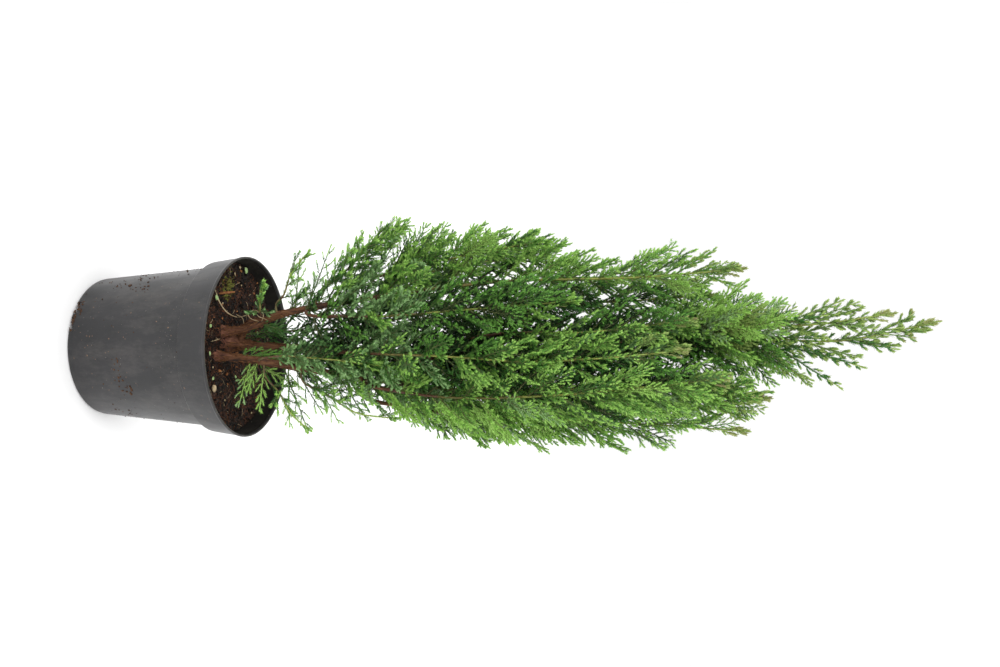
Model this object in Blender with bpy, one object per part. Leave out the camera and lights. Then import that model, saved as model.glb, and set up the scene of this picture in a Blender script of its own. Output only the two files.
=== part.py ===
"""A young potted cypress: several upright stems of feathery foliage in a round nursery pot.

Metres, +Z up. The origin is the middle of the pot's flat underside, and the front is -Y.
The pot, the soil, the trunk, each bough and each mass of foliage is one object.
"""

import math
import random
from collections import namedtuple

import bmesh
import bpy
import numpy as np
from mathutils import Matrix, Vector, noise

GAP = 0.0003

# Pot: a thin moulded wall, a collar at the rim and drainage slots at the bottom corner.
POT_HEIGHT = 0.1127
FOOT_RADIUS = 0.0504
RIM_RADIUS = 0.0650
WALL = 0.0013
FLOOR = 0.0016
FOOT_ROUNDING = 0.0022
SHOULDER_HEIGHT = 0.0895
SHOULDER_RADIUS = 0.0580
COLLAR_STEP = 0.0038
COLLAR_SLOPE = 0.0012
LIP = 0.0018
POT_SIDES = 40
SLOT_WIDTH = 0.0100
SLOT_HEIGHT = 0.0034
SLOT_DEPTH = 0.0120
SLOT_PAIR_AZIMUTHS = (244.0, 4.0, 124.0)
SLOT_HALF_SPACING = 7.5
POT_SMOOTH_ANGLE = 30

# Soil: level round the stems and a little higher at the wall.
SOIL_LEVEL = 0.0975
SOIL_EDGE_RISE = 0.0030
SOIL_LEVEL_RADIUS = 0.034
SOIL_LUMP = 0.0014
SOIL_LUMPS_PER_METRE = 90.0
SOIL_TOP_INSET = 0.0040
SOIL_RINGS = 4
SOIL_SMOOTH_ANGLE = 40

# Trunk: a root collar that narrows fast, then one leader up through the crown.
TRUNK_WAY = (
    (-0.003, -0.004, SOIL_LEVEL + GAP),
    (-0.001, -0.001, 0.112),
    (0.001, 0.001, 0.150),
    (0.005, 0.002, 0.215),
    (0.003, 0.000, 0.300),
    (-0.005, 0.000, 0.410),
)
TRUNK_RADIUS = 0.0037
TRUNK_TIP_RADIUS = 0.0015
TRUNK_FLARE = 0.0078
TRUNK_FLARE_HEIGHT = 0.0050
ROOT_LOBES = 4
ROOT_LOBE_DEPTH = 0.30
TRUNK_SIDES = 10
TRUNK_RINGS = 16

# Boughs and the stems inside the foliage. Each leaves its parent square to its own end, and a
# squareness of 1 would also make it square to the parent.
RING_BUNCHING = 1.8
BOUGH_SIDES = 6
BOUGH_RING_STEP = 0.016
LEAVING_SQUARENESS = 0.55
TWIG_SIDES = 3
TWIG_RING_STEP = 0.030
TWIG_TIP_RADIUS = 0.0008
STEM_FOOT_FLARE = 0.0022
STEM_FOOT_FLARE_HEIGHT = 0.004
STRAIGHT_START = 2.5
HEADING_STEP = 0.001
SEAT_STEP = 0.0001
SEAT_TESTS = 12
LIMB_SMOOTH_ANGLE = 65

# Sprays: toothed blades, set round each stem at the golden angle and curving up.
GOLDEN_ANGLE = math.radians(137.5)
SPRAY_SPACING = 0.0133
SPRAY_FIRST = 0.007
SPRAY_FADE = 0.022
SPRAY_FADE_START = 0.008
SPRAY_INWARD_LOSS = 0.16
CROWN_MIDDLE = 0.045
SPRAY_MINIMUM = 0.010
SPRAY_ANGLE_LOW = math.radians(50)
SPRAY_ANGLE_TIP = math.radians(30)
SPRAY_ANGLE_GROWTH = 1.3
SPRAY_RISE = 0.22
SPRAY_SHRINKS = (1.0, 0.84, 0.70, 0.58, 0.48)
SPRAY_TURNS = (0.0, 1.1, -1.1, 2.2, -2.2)
SPRAY_TWIST = 0.8
SPRAY_LENGTH_SPREAD = (0.82, 1.14)
SPRAY_ANGLE_SPREAD = (0.85, 1.12)
SPRAY_STEP_SPREAD = (0.8, 1.2)
SPRAY_TURN_SPREAD = 0.35
SPRAYS_COMPARED = 8
RIB_TESTS = 9
RIB_NEAR_STEM = 2
CLEAR_OF_SPRAYS = 0.0040
TIP_SPRAY = 0.026
TIP_SPRAY_SHARE = 0.4
STEM_INTO_TIP = 0.004
RIB_HALF_WIDTH = 0.0012
RIB_HEIGHT = 0.0013
ROOT_HALF_WIDTH = 0.0006
TOOTH_REACH = 0.23
TOOTH_REACH_LEAST = 0.0030
TOOTH_NARROWING = 0.55
TOOTH_LEAD = 0.28
TOOTHED_SHARE = 0.72
SHORT_SPRAY = 0.034
CLEAR_OF_LIMBS = 0.0030
CLEAR_OF_POT = 0.0030
CLEAR_OF_SOIL = 0.0070
CLEAR_OF_RIM = 0.0060
CLEAR_OF_NEIGHBOURS = 0.0011
MERGE_DISTANCE = 2e-6

Plume = namedtuple("Plume", "name limb height azimuth rise way bare radius reach density")

# Each plume: its name, the limb that it leaves and at what height, the direction and rise in
# degrees at which it leaves, the points that its stem passes and ends at, how much of the stem
# is bare bough, the stem's radius at its foot, the reach of its longest sprays and how densely
# they stand, where 1 is usual.
PLUMES = (
    Plume("right", "soil", SOIL_LEVEL, 0, 90,
          ((0.006, -0.021, 0.0978), (0.008, -0.019, 0.115), (0.014, -0.017, 0.157), (0.022, -0.016, 0.210),
           (0.029, -0.020, 0.300), (0.026, -0.020, 0.370), (0.031, -0.020, 0.474)),
          0.108, 0.0031, 0.044, 1.0),
    Plume("left", "trunk", 0.106, 200, 38,
          ((-0.0205, -0.010, 0.133), (-0.033, -0.015, 0.205), (-0.044, -0.015, 0.300),
           (-0.046, -0.015, 0.395), (-0.0505, -0.015, 0.459)),
          0.112, 0.0029, 0.042, 1.0),
    Plume("left_outer", "left", 0.190, 170, 30,
          ((-0.052, -0.010, 0.228), (-0.062, -0.011, 0.275), (-0.072, -0.010, 0.335)),
          0.024, 0.0015, 0.040, 1.0),
    Plume("right_outer", "right", 0.196, 20, 30,
          ((0.042, -0.006, 0.240), (0.047, -0.007, 0.320), (0.050, -0.008, 0.400), (0.053, -0.010, 0.461)),
          0.034, 0.0019, 0.042, 1.0),
    Plume("front", "trunk", 0.236, 278, 30,
          ((0.007, -0.026, 0.275), (0.008, -0.042, 0.335), (0.006, -0.048, 0.370), (0.0006, -0.045, 0.424)),
          0.030, 0.0016, 0.040, 1.0),
    Plume("front_middle", "trunk", 0.176, 272, 34,
          ((0.004, -0.038, 0.222), (0.005, -0.052, 0.270), (0.010, -0.056, 0.346)),
          0.040, 0.0015, 0.036, 1.0),
    Plume("front_left", "trunk", 0.262, 235, 35,
          ((-0.009, -0.025, 0.300), (-0.010, -0.034, 0.357), (-0.018, -0.036, 0.428)),
          0.026, 0.0015, 0.036, 1.0),
    Plume("front_left_low", "left", 0.160, 290, 30,
          ((-0.021, -0.032, 0.205), (-0.025, -0.047, 0.290), (-0.030, -0.047, 0.358)),
          0.032, 0.0015, 0.040, 1.0),
    Plume("front_right", "right", 0.205, 285, 35,
          ((0.031, -0.036, 0.255), (0.030, -0.048, 0.330), (0.024, -0.042, 0.395), (0.018, -0.036, 0.449)),
          0.030, 0.0016, 0.040, 1.0),
    Plume("low_front", "right", 0.128, 262, 40,
          ((0.006, -0.033, 0.150), (0.007, -0.040, 0.180), (0.012, -0.044, 0.232)),
          0.010, 0.0012, 0.026, 1.2),
    Plume("low_right", "right", 0.132, 345, 20,
          ((0.032, -0.022, 0.146), (0.046, -0.025, 0.156), (0.057, -0.025, 0.170)),
          0.008, 0.0012, 0.026, 1.6),
    Plume("mid_right", "right", 0.158, 350, 28,
          ((0.033, -0.018, 0.180), (0.044, -0.021, 0.200), (0.048, -0.022, 0.232)),
          0.010, 0.0012, 0.032, 1.2),
    Plume("low_left", "left", 0.136, 195, 16,
          ((-0.036, -0.018, 0.147), (-0.052, -0.022, 0.155), (-0.066, -0.022, 0.168)),
          0.010, 0.0012, 0.026, 1.4),
    Plume("mid_left", "left", 0.166, 180, 24,
          ((-0.050, -0.012, 0.188), (-0.070, -0.012, 0.206), (-0.084, -0.012, 0.234)),
          0.014, 0.0013, 0.034, 1.2),
    Plume("sprig", "left", 0.128, 210, -22,
          ((-0.026, -0.016, 0.1285), (-0.036, -0.021, 0.131), (-0.045, -0.025, 0.136)),
          0.0, 0.0010, 0.020, 2.2),
    Plume("inner_left", "trunk", 0.114, 150, 55,
          ((-0.010, 0.007, 0.130), (-0.012, 0.012, 0.165), (-0.012, 0.016, 0.215)),
          0.006, 0.0012, 0.024, 1.0),
    Plume("inner_right", "trunk", 0.120, 30, 50,
          ((0.009, 0.007, 0.138), (0.014, 0.008, 0.170), (0.016, 0.008, 0.222)),
          0.006, 0.0012, 0.024, 1.0),
    Plume("back_left", "trunk", 0.160, 125, 35,
          ((-0.018, 0.026, 0.205), (-0.030, 0.034, 0.300), (-0.032, 0.032, 0.380), (-0.036, 0.026, 0.442)),
          0.052, 0.0020, 0.042, 1.0),
    Plume("back_right", "trunk", 0.172, 50, 35,
          ((0.024, 0.026, 0.215), (0.034, 0.034, 0.300), (0.032, 0.032, 0.390), (0.028, 0.024, 0.455)),
          0.050, 0.0020, 0.042, 1.0),
    Plume("back", "trunk", 0.205, 92, 35,
          ((0.003, 0.034, 0.245), (0.000, 0.050, 0.320), (-0.003, 0.046, 0.428)),
          0.036, 0.0016, 0.042, 1.0),
    Plume("back_outer_left", "back_left", 0.186, 165, 28,
          ((-0.044, 0.030, 0.214), (-0.060, 0.034, 0.270), (-0.060, 0.032, 0.345)),
          0.022, 0.0014, 0.040, 1.0),
    Plume("back_outer_right", "back_right", 0.196, 15, 28,
          ((0.046, 0.030, 0.222), (0.054, 0.032, 0.270), (0.054, 0.030, 0.362)),
          0.022, 0.0014, 0.040, 1.0),
    Plume("low_back", "trunk", 0.132, 80, 24,
          ((0.008, 0.026, 0.146), (0.010, 0.044, 0.162), (0.010, 0.056, 0.192)),
          0.012, 0.0012, 0.030, 1.2),
    Plume("second_top", "trunk", 0.398, 215, 45,
          ((-0.014, -0.009, 0.430), (-0.015, -0.009, 0.500), (-0.022, -0.010, 0.549)),
          0.0, 0.0012, 0.036, 1.2),
    Plume("top", "trunk tip", 0.410, 0, 90,
          ((-0.008, 0.000, 0.441), (-0.005, 0.000, 0.520), (-0.0167, 0.000, 0.5765)),
          0.0, 0.0014, 0.056, 1.3),
)
SEED = 7


def fresh_scene():
    """Empties the scene, so that the script gives the same result wherever it is run."""
    for obj in list(bpy.data.objects):
        bpy.data.objects.remove(obj, do_unlink=True)


def material(name, colour, roughness, metallic=0.0):
    made = bpy.data.materials.new(name)
    made.use_nodes = True
    shader = made.node_tree.nodes["Principled BSDF"]
    shader.inputs["Base Color"].default_value = (*colour, 1.0)
    shader.inputs["Roughness"].default_value = roughness
    shader.inputs["Metallic"].default_value = metallic
    return made


def add_object(name, bm, finish, smooth_angle=None):
    """Turns a bmesh into a named object; smooth_angle in degrees shades it round up to that edge."""
    mesh = bpy.data.meshes.new(name)
    bm.to_mesh(mesh)
    bm.free()
    mesh.materials.append(finish)
    if smooth_angle is not None:
        mesh.shade_smooth()
        mesh.set_sharp_from_angle(angle=math.radians(smooth_angle))
    obj = bpy.data.objects.new(name, mesh)
    bpy.context.scene.collection.objects.link(obj)
    return obj


def turned(profile, sides, height_at=None):
    """A solid of revolution from (radius, height) points that start and end on the axis.

    height_at(x, y, height, radius) may shift the height of a point.
    """
    bm = bmesh.new()
    rings = []
    for radius, height in profile:
        if radius == 0.0:
            top = height_at(0.0, 0.0, height, radius) if height_at else height
            rings.append([bm.verts.new((0.0, 0.0, top))])
            continue
        ring = []
        for step in range(sides):
            angle = 2 * math.pi * step / sides
            x = radius * math.cos(angle)
            y = radius * math.sin(angle)
            z = height_at(x, y, height, radius) if height_at else height
            ring.append(bm.verts.new((x, y, z)))
        rings.append(ring)
    for low, high in zip(rings, rings[1:]):
        for step in range(sides):
            after = (step + 1) % sides
            if len(low) == 1:
                bm.faces.new((low[0], high[after], high[step]))
            elif len(high) == 1:
                bm.faces.new((low[step], low[after], high[0]))
            else:
                bm.faces.new((low[step], low[after], high[after], high[step]))
    bmesh.ops.recalc_face_normals(bm, faces=bm.faces)
    return bm


def wall_radius(height):
    """Outer radius of the pot's plain wall at a height below the collar."""
    share = height / SHOULDER_HEIGHT
    return FOOT_RADIUS + (SHOULDER_RADIUS - FOOT_RADIUS) * share


def make_pot(finish):
    collar_foot = SHOULDER_HEIGHT + COLLAR_SLOPE
    collar_radius = SHOULDER_RADIUS + COLLAR_STEP
    outside = [
        (0.0, 0.0),
        (FOOT_RADIUS - FOOT_ROUNDING, 0.0),
        (FOOT_RADIUS - 0.3 * FOOT_ROUNDING, 0.3 * FOOT_ROUNDING),
        (wall_radius(FOOT_ROUNDING), FOOT_ROUNDING),
        (SHOULDER_RADIUS, SHOULDER_HEIGHT),
        (collar_radius, collar_foot),
        (RIM_RADIUS, POT_HEIGHT - 0.5 * LIP),
        (RIM_RADIUS - 0.25 * LIP, POT_HEIGHT),
    ]
    inside = [
        (RIM_RADIUS - 0.8 * LIP, POT_HEIGHT),
        (RIM_RADIUS - LIP, POT_HEIGHT - 0.6 * LIP),
        (collar_radius - WALL, collar_foot + WALL),
        (SHOULDER_RADIUS - WALL, SHOULDER_HEIGHT + 0.5 * WALL),
        (wall_radius(FLOOR) - WALL, FLOOR),
        (0.0, FLOOR),
    ]
    pot = add_object("pot", turned(outside + inside, POT_SIDES), finish, POT_SMOOTH_ANGLE)
    for pair, centre in enumerate(SLOT_PAIR_AZIMUTHS):
        for side in (-1, 1):
            cutter = drainage_cutter(f"slot_cutter_{pair}_{side}", centre + side * SLOT_HALF_SPACING, finish)
            cut = pot.modifiers.new(cutter.name, "BOOLEAN")
            cut.operation = "DIFFERENCE"
            cut.object = cutter


def drainage_cutter(name, azimuth, finish):
    """A block across the pot's bottom corner, from under the floor to the slot's top."""
    bm = bmesh.new()
    bmesh.ops.create_cube(bm, size=1.0)
    height = SLOT_HEIGHT + GAP
    bmesh.ops.scale(bm, verts=bm.verts, vec=(SLOT_DEPTH, SLOT_WIDTH, 2 * height))
    bmesh.ops.translate(bm, verts=bm.verts, vec=(FOOT_RADIUS, 0.0, -GAP))
    cutter = add_object(name, bm, finish)
    cutter.rotation_euler.z = math.radians(azimuth)
    cutter.hide_render = True
    cutter.display_type = "WIRE"
    return cutter


def soil_height(x, y, height, radius):
    """The soil's top: level where the stems stand, lumpy and higher towards the wall."""
    if height < SOIL_LEVEL:
        return height
    outer = max(0.0, radius - SOIL_LEVEL_RADIUS) / (RIM_RADIUS - SOIL_LEVEL_RADIUS)
    lump = noise.noise(Vector((x, y, 0.0)) * SOIL_LUMPS_PER_METRE) * SOIL_LUMP
    return height + outer * (SOIL_EDGE_RISE + lump)


def make_soil(finish):
    """Fills the pot, a gap clear of its wall and floor."""
    slack = 2 * GAP
    collar_height = SHOULDER_HEIGHT + COLLAR_SLOPE + WALL + slack
    top_radius = RIM_RADIUS - SOIL_TOP_INSET
    profile = [
        (0.0, FLOOR + GAP),
        (wall_radius(FLOOR) - WALL - slack, FLOOR + GAP),
        (SHOULDER_RADIUS - WALL - slack, SHOULDER_HEIGHT + 0.5 * WALL + slack),
        (SHOULDER_RADIUS + COLLAR_STEP - WALL - slack, collar_height),
    ]
    for ring in range(SOIL_RINGS):
        profile.append((top_radius * (1 - ring / SOIL_RINGS), SOIL_LEVEL))
    profile.append((0.0, SOIL_LEVEL))
    add_object("soil", turned(profile, POT_SIDES, soil_height), finish, SOIL_SMOOTH_ANGLE)


class Route:
    """A smooth curve through way points, measured along its length."""

    STEPS = 24

    def __init__(self, points):
        way = [Vector(point) for point in points]
        way = [2 * way[0] - way[1]] + way + [2 * way[-1] - way[-2]]
        self.points = [way[1]]
        for before, start, end, after in zip(way, way[1:], way[2:], way[3:]):
            for step in range(1, self.STEPS + 1):
                self.points.append(self.blend(before, start, end, after, step / self.STEPS))
        self.reached = [0.0]
        for one, other in zip(self.points, self.points[1:]):
            self.reached.append(self.reached[-1] + (other - one).length)
        self.length = self.reached[-1]

    @staticmethod
    def blend(before, start, end, after, share):
        """A point between start and end on a smooth cubic that allows for the way points' spacing."""
        behind = (start - before).length
        span = (end - start).length
        ahead = (after - end).length
        chord = (end - start) / span
        slope_in = span * (chord + (start - before) / behind - (end - before) / (behind + span))
        slope_out = span * (chord + (after - end) / ahead - (after - start) / (span + ahead))
        square = share * share
        cube = square * share
        return (
            (2 * cube - 3 * square + 1) * start
            + (cube - 2 * square + share) * slope_in
            + (3 * square - 2 * cube) * end
            + (cube - square) * slope_out
        )

    def at(self, along):
        along = min(max(along, 0.0), self.length)
        index = min(int(np.searchsorted(self.reached, along)), len(self.points) - 1)
        if index == 0:
            return self.points[0].copy()
        span = self.reached[index] - self.reached[index - 1]
        share = (along - self.reached[index - 1]) / span if span else 0.0
        return self.points[index - 1].lerp(self.points[index], share)

    def heading(self, along):
        return (self.at(along + HEADING_STEP) - self.at(along - HEADING_STEP)).normalized()

    def at_height(self, height):
        """How far along the curve first reaches a height."""
        for reached, point in zip(self.reached, self.points):
            if point.z >= height:
                return reached
        return self.length


class Limb:
    """A tapering round limb: its route, its bare length and its radius at each place."""

    def __init__(self, name, route, foot_radius, tip_radius, flare=0.0, flare_height=1.0, bare=None):
        self.name = name
        self.route = route
        self.foot_radius = foot_radius
        self.tip_radius = tip_radius
        self.flare = flare
        self.flare_height = flare_height
        self.lobe = 0.0
        self.bare = route.length if bare is None else bare

    def flaring(self, along):
        return math.exp(-along / self.flare_height)

    def radius(self, along):
        """Radius at a place on the limb, on the crest of a root lobe."""
        taper = self.foot_radius + (self.tip_radius - self.foot_radius) * along / self.route.length
        return taper + self.flare * self.flaring(along)

    def clearance(self, point):
        """How far a point lies outside the limb's surface, and -1 inside it."""
        near = nearest_along(self.route, point)
        out = (point - self.route.at(near)).length
        if out < self.radius(near):
            return -1.0
        places = self.route.reached + [near]
        return min(math.hypot(near - reached, out - self.radius(reached)) for reached in places)


def side_of(heading):
    """A direction square to a heading, the same for near headings."""
    level = Vector((0.0, 1.0, 0.0)) if abs(heading.y) < 0.9 else Vector((1.0, 0.0, 0.0))
    return heading.cross(level).normalized()


def tube(limb, start, end, sides, step):
    """A closed tapering tube along part of a limb, with flat ends and no twist."""
    rings = max(2, round((end - start) / step) + 1)
    bm = bmesh.new()
    made = []
    across = side_of(limb.route.heading(start))
    for index in range(rings):
        share = index / (rings - 1)
        if start == 0.0:
            share = share ** RING_BUNCHING
        along = start + (end - start) * share
        centre = limb.route.at(along)
        heading = limb.route.heading(along)
        if limb.flare > 0 and index == 0:
            heading = Vector((0.0, 0.0, 1.0))
        across = (across - heading * across.dot(heading)).normalized()
        around = heading.cross(across)
        hollow = 0.5 * limb.lobe * limb.flaring(along)
        ring = []
        for corner in range(sides):
            angle = 2 * math.pi * corner / sides
            radius = limb.radius(along) * (1 - hollow * (1 - math.cos(ROOT_LOBES * angle)))
            offset = radius * (math.cos(angle) * across + math.sin(angle) * around)
            ring.append(bm.verts.new(centre + offset))
        made.append(ring)
    for low, high in zip(made, made[1:]):
        for corner in range(sides):
            after = (corner + 1) % sides
            bm.faces.new((low[corner], low[after], high[after], high[corner]))
    bm.faces.new(list(reversed(made[0])))
    bm.faces.new(made[-1])
    bmesh.ops.recalc_face_normals(bm, faces=bm.faces)
    return bm


def leaving_point(parent, height, direction, radius):
    """Where a limb of this radius can start beside its parent, square ended and a gap clear of it."""
    along = parent.route.at_height(height)
    centre = parent.route.at(along)
    across = side_of(direction)
    around = direction.cross(across)
    out = parent.radius(along)
    while True:
        start = centre + direction * out
        clear = True
        for corner in range(SEAT_TESTS):
            angle = 2 * math.pi * corner / SEAT_TESTS
            edge = start + radius * (math.cos(angle) * across + math.sin(angle) * around)
            if parent.clearance(edge) < GAP:
                clear = False
        if clear:
            return start
        out += SEAT_STEP


def nearest_along(route, point):
    """How far along a route lies its nearest place to a point."""
    found = []
    for start, end, reached in zip(route.points, route.points[1:], route.reached):
        span = end - start
        share = max(0.0, min(1.0, (point - start).dot(span) / span.length_squared))
        found.append(((start + share * span - point).length, reached + share * span.length))
    return min(found)[1]


def build_limbs():
    """The trunk, then each plume's stem in order; a stem is named for its plume."""
    flare = (TRUNK_FLARE, TRUNK_FLARE_HEIGHT)
    trunk = Limb("trunk", Route(TRUNK_WAY), TRUNK_RADIUS, TRUNK_TIP_RADIUS, *flare)
    trunk.lobe = ROOT_LOBE_DEPTH
    limbs = {"trunk": trunk}
    for plume in PLUMES:
        if plume.limb == "soil":
            route = Route(plume.way)
            flare = (STEM_FOOT_FLARE, STEM_FOOT_FLARE_HEIGHT)
            limbs[plume.name] = Limb(plume.name, route, plume.radius, TWIG_TIP_RADIUS, *flare)
            limbs[plume.name].bare = plume.bare
            continue
        if plume.limb == "trunk tip":
            tip = trunk.route.length
            start = trunk.route.at(tip) + trunk.route.heading(tip) * GAP
            route = Route((start,) + plume.way)
        else:
            parent = limbs[plume.limb]
            direction = leaving_direction(parent, plume)
            start = leaving_point(parent, plume.height, direction, plume.radius)
            route = Route((start, start + direction * STRAIGHT_START * plume.radius) + plume.way)
        limbs[plume.name] = Limb(plume.name, route, plume.radius, TWIG_TIP_RADIUS, bare=plume.bare)
    return limbs


def leaving_direction(parent, plume):
    azimuth = math.radians(plume.azimuth)
    rise = math.radians(plume.rise)
    level = Vector((math.cos(azimuth), math.sin(azimuth), 0.0))
    wanted = level * math.cos(rise) + Vector((0.0, 0.0, math.sin(rise)))
    along = parent.route.heading(parent.route.at_height(plume.height))
    return (wanted - LEAVING_SQUARENESS * wanted.dot(along) * along).normalized()


class Space:
    """Who owns each point of the crown, and where the limbs, the pot and the soil are."""

    def __init__(self, limbs):
        self.stems = {}
        self.limb_points = []
        self.limb_radii = []
        for limb in limbs.values():
            route = limb.route
            if limb.name != "trunk":
                leafy = [tuple(p) for p, reached in zip(route.points, route.reached) if reached >= limb.bare]
                self.stems[limb.name] = np.array(leafy)
            for point, reached in zip(route.points, route.reached):
                if reached <= limb.bare:
                    self.limb_points.append(tuple(point))
                    self.limb_radii.append(limb.radius(reached))
        self.limb_points = np.array(self.limb_points)
        self.limb_radii = np.array(self.limb_radii)

    def holds(self, name, points):
        """True if every point is in this plume's space, clear of all limbs and of the pot."""
        asked = np.array([tuple(point) for point in points])
        away = np.linalg.norm(asked[:, None, :] - self.limb_points[None], axis=2) - self.limb_radii[None]
        if away.min() < CLEAR_OF_LIMBS:
            return False
        spread = np.hypot(asked[:, 0], asked[:, 1])
        over_rim = (spread < RIM_RADIUS + CLEAR_OF_RIM) & (asked[:, 2] < POT_HEIGHT + CLEAR_OF_POT)
        over_soil = (spread < RIM_RADIUS - CLEAR_OF_RIM) & (asked[:, 2] > SOIL_LEVEL + CLEAR_OF_SOIL)
        if (over_rim & ~over_soil).any():
            return False
        own = distances(self.stems[name], asked)
        for other, stem in self.stems.items():
            if other != name and (distances(stem, asked) < own + 2 * CLEAR_OF_NEIGHBOURS).any():
                return False
        return True


def distances(stem, points):
    return np.linalg.norm(points[:, None, :] - stem[None], axis=2).min(axis=1)


class Spray:
    """One flat spray: a rib that leaves its stem and curves up, with its teeth to both sides."""

    def __init__(self, root, direction, side, length):
        self.root = root
        self.direction = direction
        self.side = side
        self.length = length
        up = Vector((0.0, 0.0, 1.0))
        self.lift = up - direction * up.dot(direction)

    def at(self, share):
        return self.root + self.length * (share * self.direction + SPRAY_RISE * share * share * self.lift)

    def stations(self):
        """Shares of the rib at which its teeth start, and where the last one ends."""
        teeth = 2 if self.length < SHORT_SPRAY else 3
        return [TOOTHED_SHARE * step / teeth for step in range(teeth + 1)]

    def tooth(self, share, side):
        """The tip of the tooth that starts at this share of the rib; side is -1 or 1."""
        reach = (TOOTH_REACH_LEAST + TOOTH_REACH * self.length) * (1.0 - TOOTH_NARROWING * share)
        return self.at(share + TOOTH_LEAD) + side * reach * self.side

    def outline(self):
        """Points that must lie in the plume's own space."""
        points = [self.at((step + 2) / (RIB_TESTS + 1)) for step in range(RIB_TESTS)]
        for share in self.stations()[:-1]:
            for side in (-1, 1):
                tip = self.tooth(share, side)
                middle = tip.lerp(self.at(share + 0.1), 0.5)
                points += [tip, middle] if share > 0 else [tip]
        return points


def spray_at(limb, reach, along, turn, rng):
    """A spray that leaves the stem at this place, turned round it by this much."""
    route = limb.route
    remaining = route.length - along
    heading = route.heading(along)
    across = side_of(heading)
    out = math.cos(turn) * across + math.sin(turn) * heading.cross(across)
    centre = route.at(along)
    away = Vector((centre.x, centre.y, 0.0)) / CROWN_MIDDLE
    favour = 1.0 - SPRAY_INWARD_LOSS * (1.0 - max(-1.0, min(1.0, out.dot(away))))
    fade = 1.0 - math.exp(-(remaining + SPRAY_FADE_START) / SPRAY_FADE)
    length = min(reach * favour * fade * rng.uniform(*SPRAY_LENGTH_SPREAD), remaining)
    low = min(1.0, SPRAY_ANGLE_GROWTH * remaining / (route.length - limb.bare))
    angle = SPRAY_ANGLE_TIP + (SPRAY_ANGLE_LOW - SPRAY_ANGLE_TIP) * low
    angle *= rng.uniform(*SPRAY_ANGLE_SPREAD)
    direction = (math.cos(angle) * heading + math.sin(angle) * out).normalized()
    twist = Matrix.Rotation(rng.uniform(-SPRAY_TWIST, SPRAY_TWIST), 3, direction)
    return Spray(centre, direction, twist @ direction.cross(out).normalized(), length)


def longest_fit(spray, name, space, placed):
    """The spray, shortened until it keeps to its space and clear of the sprays placed before it."""
    full = spray.length
    for shrink in SPRAY_SHRINKS:
        spray.length = full * shrink
        if spray.length < SPRAY_MINIMUM:
            return None
        outline = spray.outline()
        rib = np.array([tuple(point) for point in outline[RIB_NEAR_STEM:RIB_TESTS]])
        near = [np.linalg.norm(rib[:, None] - other, axis=2).min() for other in placed[-SPRAYS_COMPARED:]]
        if min(near, default=1.0) >= CLEAR_OF_SPRAYS and space.holds(name, outline):
            placed.append(rib)
            return spray
    return None


def sprays_of(limb, reach, space, spacing, rng):
    """The sprays of one plume, from the foot of its leafy stem to the tip, by the seeded rule."""
    found = []
    placed = []
    along = limb.bare + SPRAY_FIRST
    turn = rng.uniform(0, 2 * math.pi)
    while along < limb.route.length - 0.5 * tip_length(limb):
        for aside in SPRAY_TURNS:
            spray = longest_fit(spray_at(limb, reach, along, turn + aside, rng), limb.name, space, placed)
            if spray:
                found.append(spray)
                break
        along += spacing * rng.uniform(*SPRAY_STEP_SPREAD)
        turn += GOLDEN_ANGLE + rng.uniform(-SPRAY_TURN_SPREAD, SPRAY_TURN_SPREAD)
    found.append(tip_spray(limb, rng))
    return found


def tip_length(limb):
    """Length of the spray that ends a stem."""
    return min(TIP_SPRAY, TIP_SPRAY_SHARE * (limb.route.length - limb.bare))


def tip_spray(limb, rng):
    """The spray that ends the stem, straight on along it."""
    route = limb.route
    start = route.length - tip_length(limb)
    root = route.at(start)
    ahead = route.at(route.length) - root
    direction = ahead.normalized()
    side = Matrix.Rotation(rng.uniform(0, math.pi), 3, direction) @ side_of(direction)
    spray = Spray(root, direction, side, ahead.length)
    spray.lift = Vector((0.0, 0.0, 0.0))
    return spray


def blade(spray):
    """A spray as a closed toothed blade: a three-sided rib with a pointed tooth each side of it."""
    shares = spray.stations()
    bm = bmesh.new()
    top = []
    left = []
    right = []
    for index, share in enumerate(shares):
        centre = spray.at(share)
        ahead = (spray.at(share + 0.02) - spray.at(share)).normalized()
        above = ahead.cross(spray.side).normalized()
        half = ROOT_HALF_WIDTH if index == 0 else RIB_HALF_WIDTH
        height = ROOT_HALF_WIDTH if index == 0 else RIB_HEIGHT
        top.append(bm.verts.new(centre + height * above))
        left.append(bm.verts.new(centre + half * spray.side - 0.5 * height * above))
        right.append(bm.verts.new(centre - half * spray.side - 0.5 * height * above))
    for index, share in enumerate(shares[:-1]):
        after = index + 1
        one = bm.verts.new(spray.tooth(share, 1))
        other = bm.verts.new(spray.tooth(share, -1))
        for tooth, edge in ((one, left), (other, right)):
            bm.faces.new((edge[index], top[index], tooth))
            bm.faces.new((top[index], top[after], tooth))
            bm.faces.new((top[after], edge[after], tooth))
            bm.faces.new((edge[index], tooth, edge[after]))
        bm.faces.new((left[index], left[after], right[after]))
        bm.faces.new((left[index], right[after], right[index]))
    tip = bm.verts.new(spray.at(1.0))
    bm.faces.new((top[-1], left[-1], tip))
    bm.faces.new((top[-1], tip, right[-1]))
    bm.faces.new((left[-1], right[-1], tip))
    bm.faces.new((top[0], right[0], left[0]))
    bmesh.ops.recalc_face_normals(bm, faces=bm.faces)
    return bm


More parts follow.
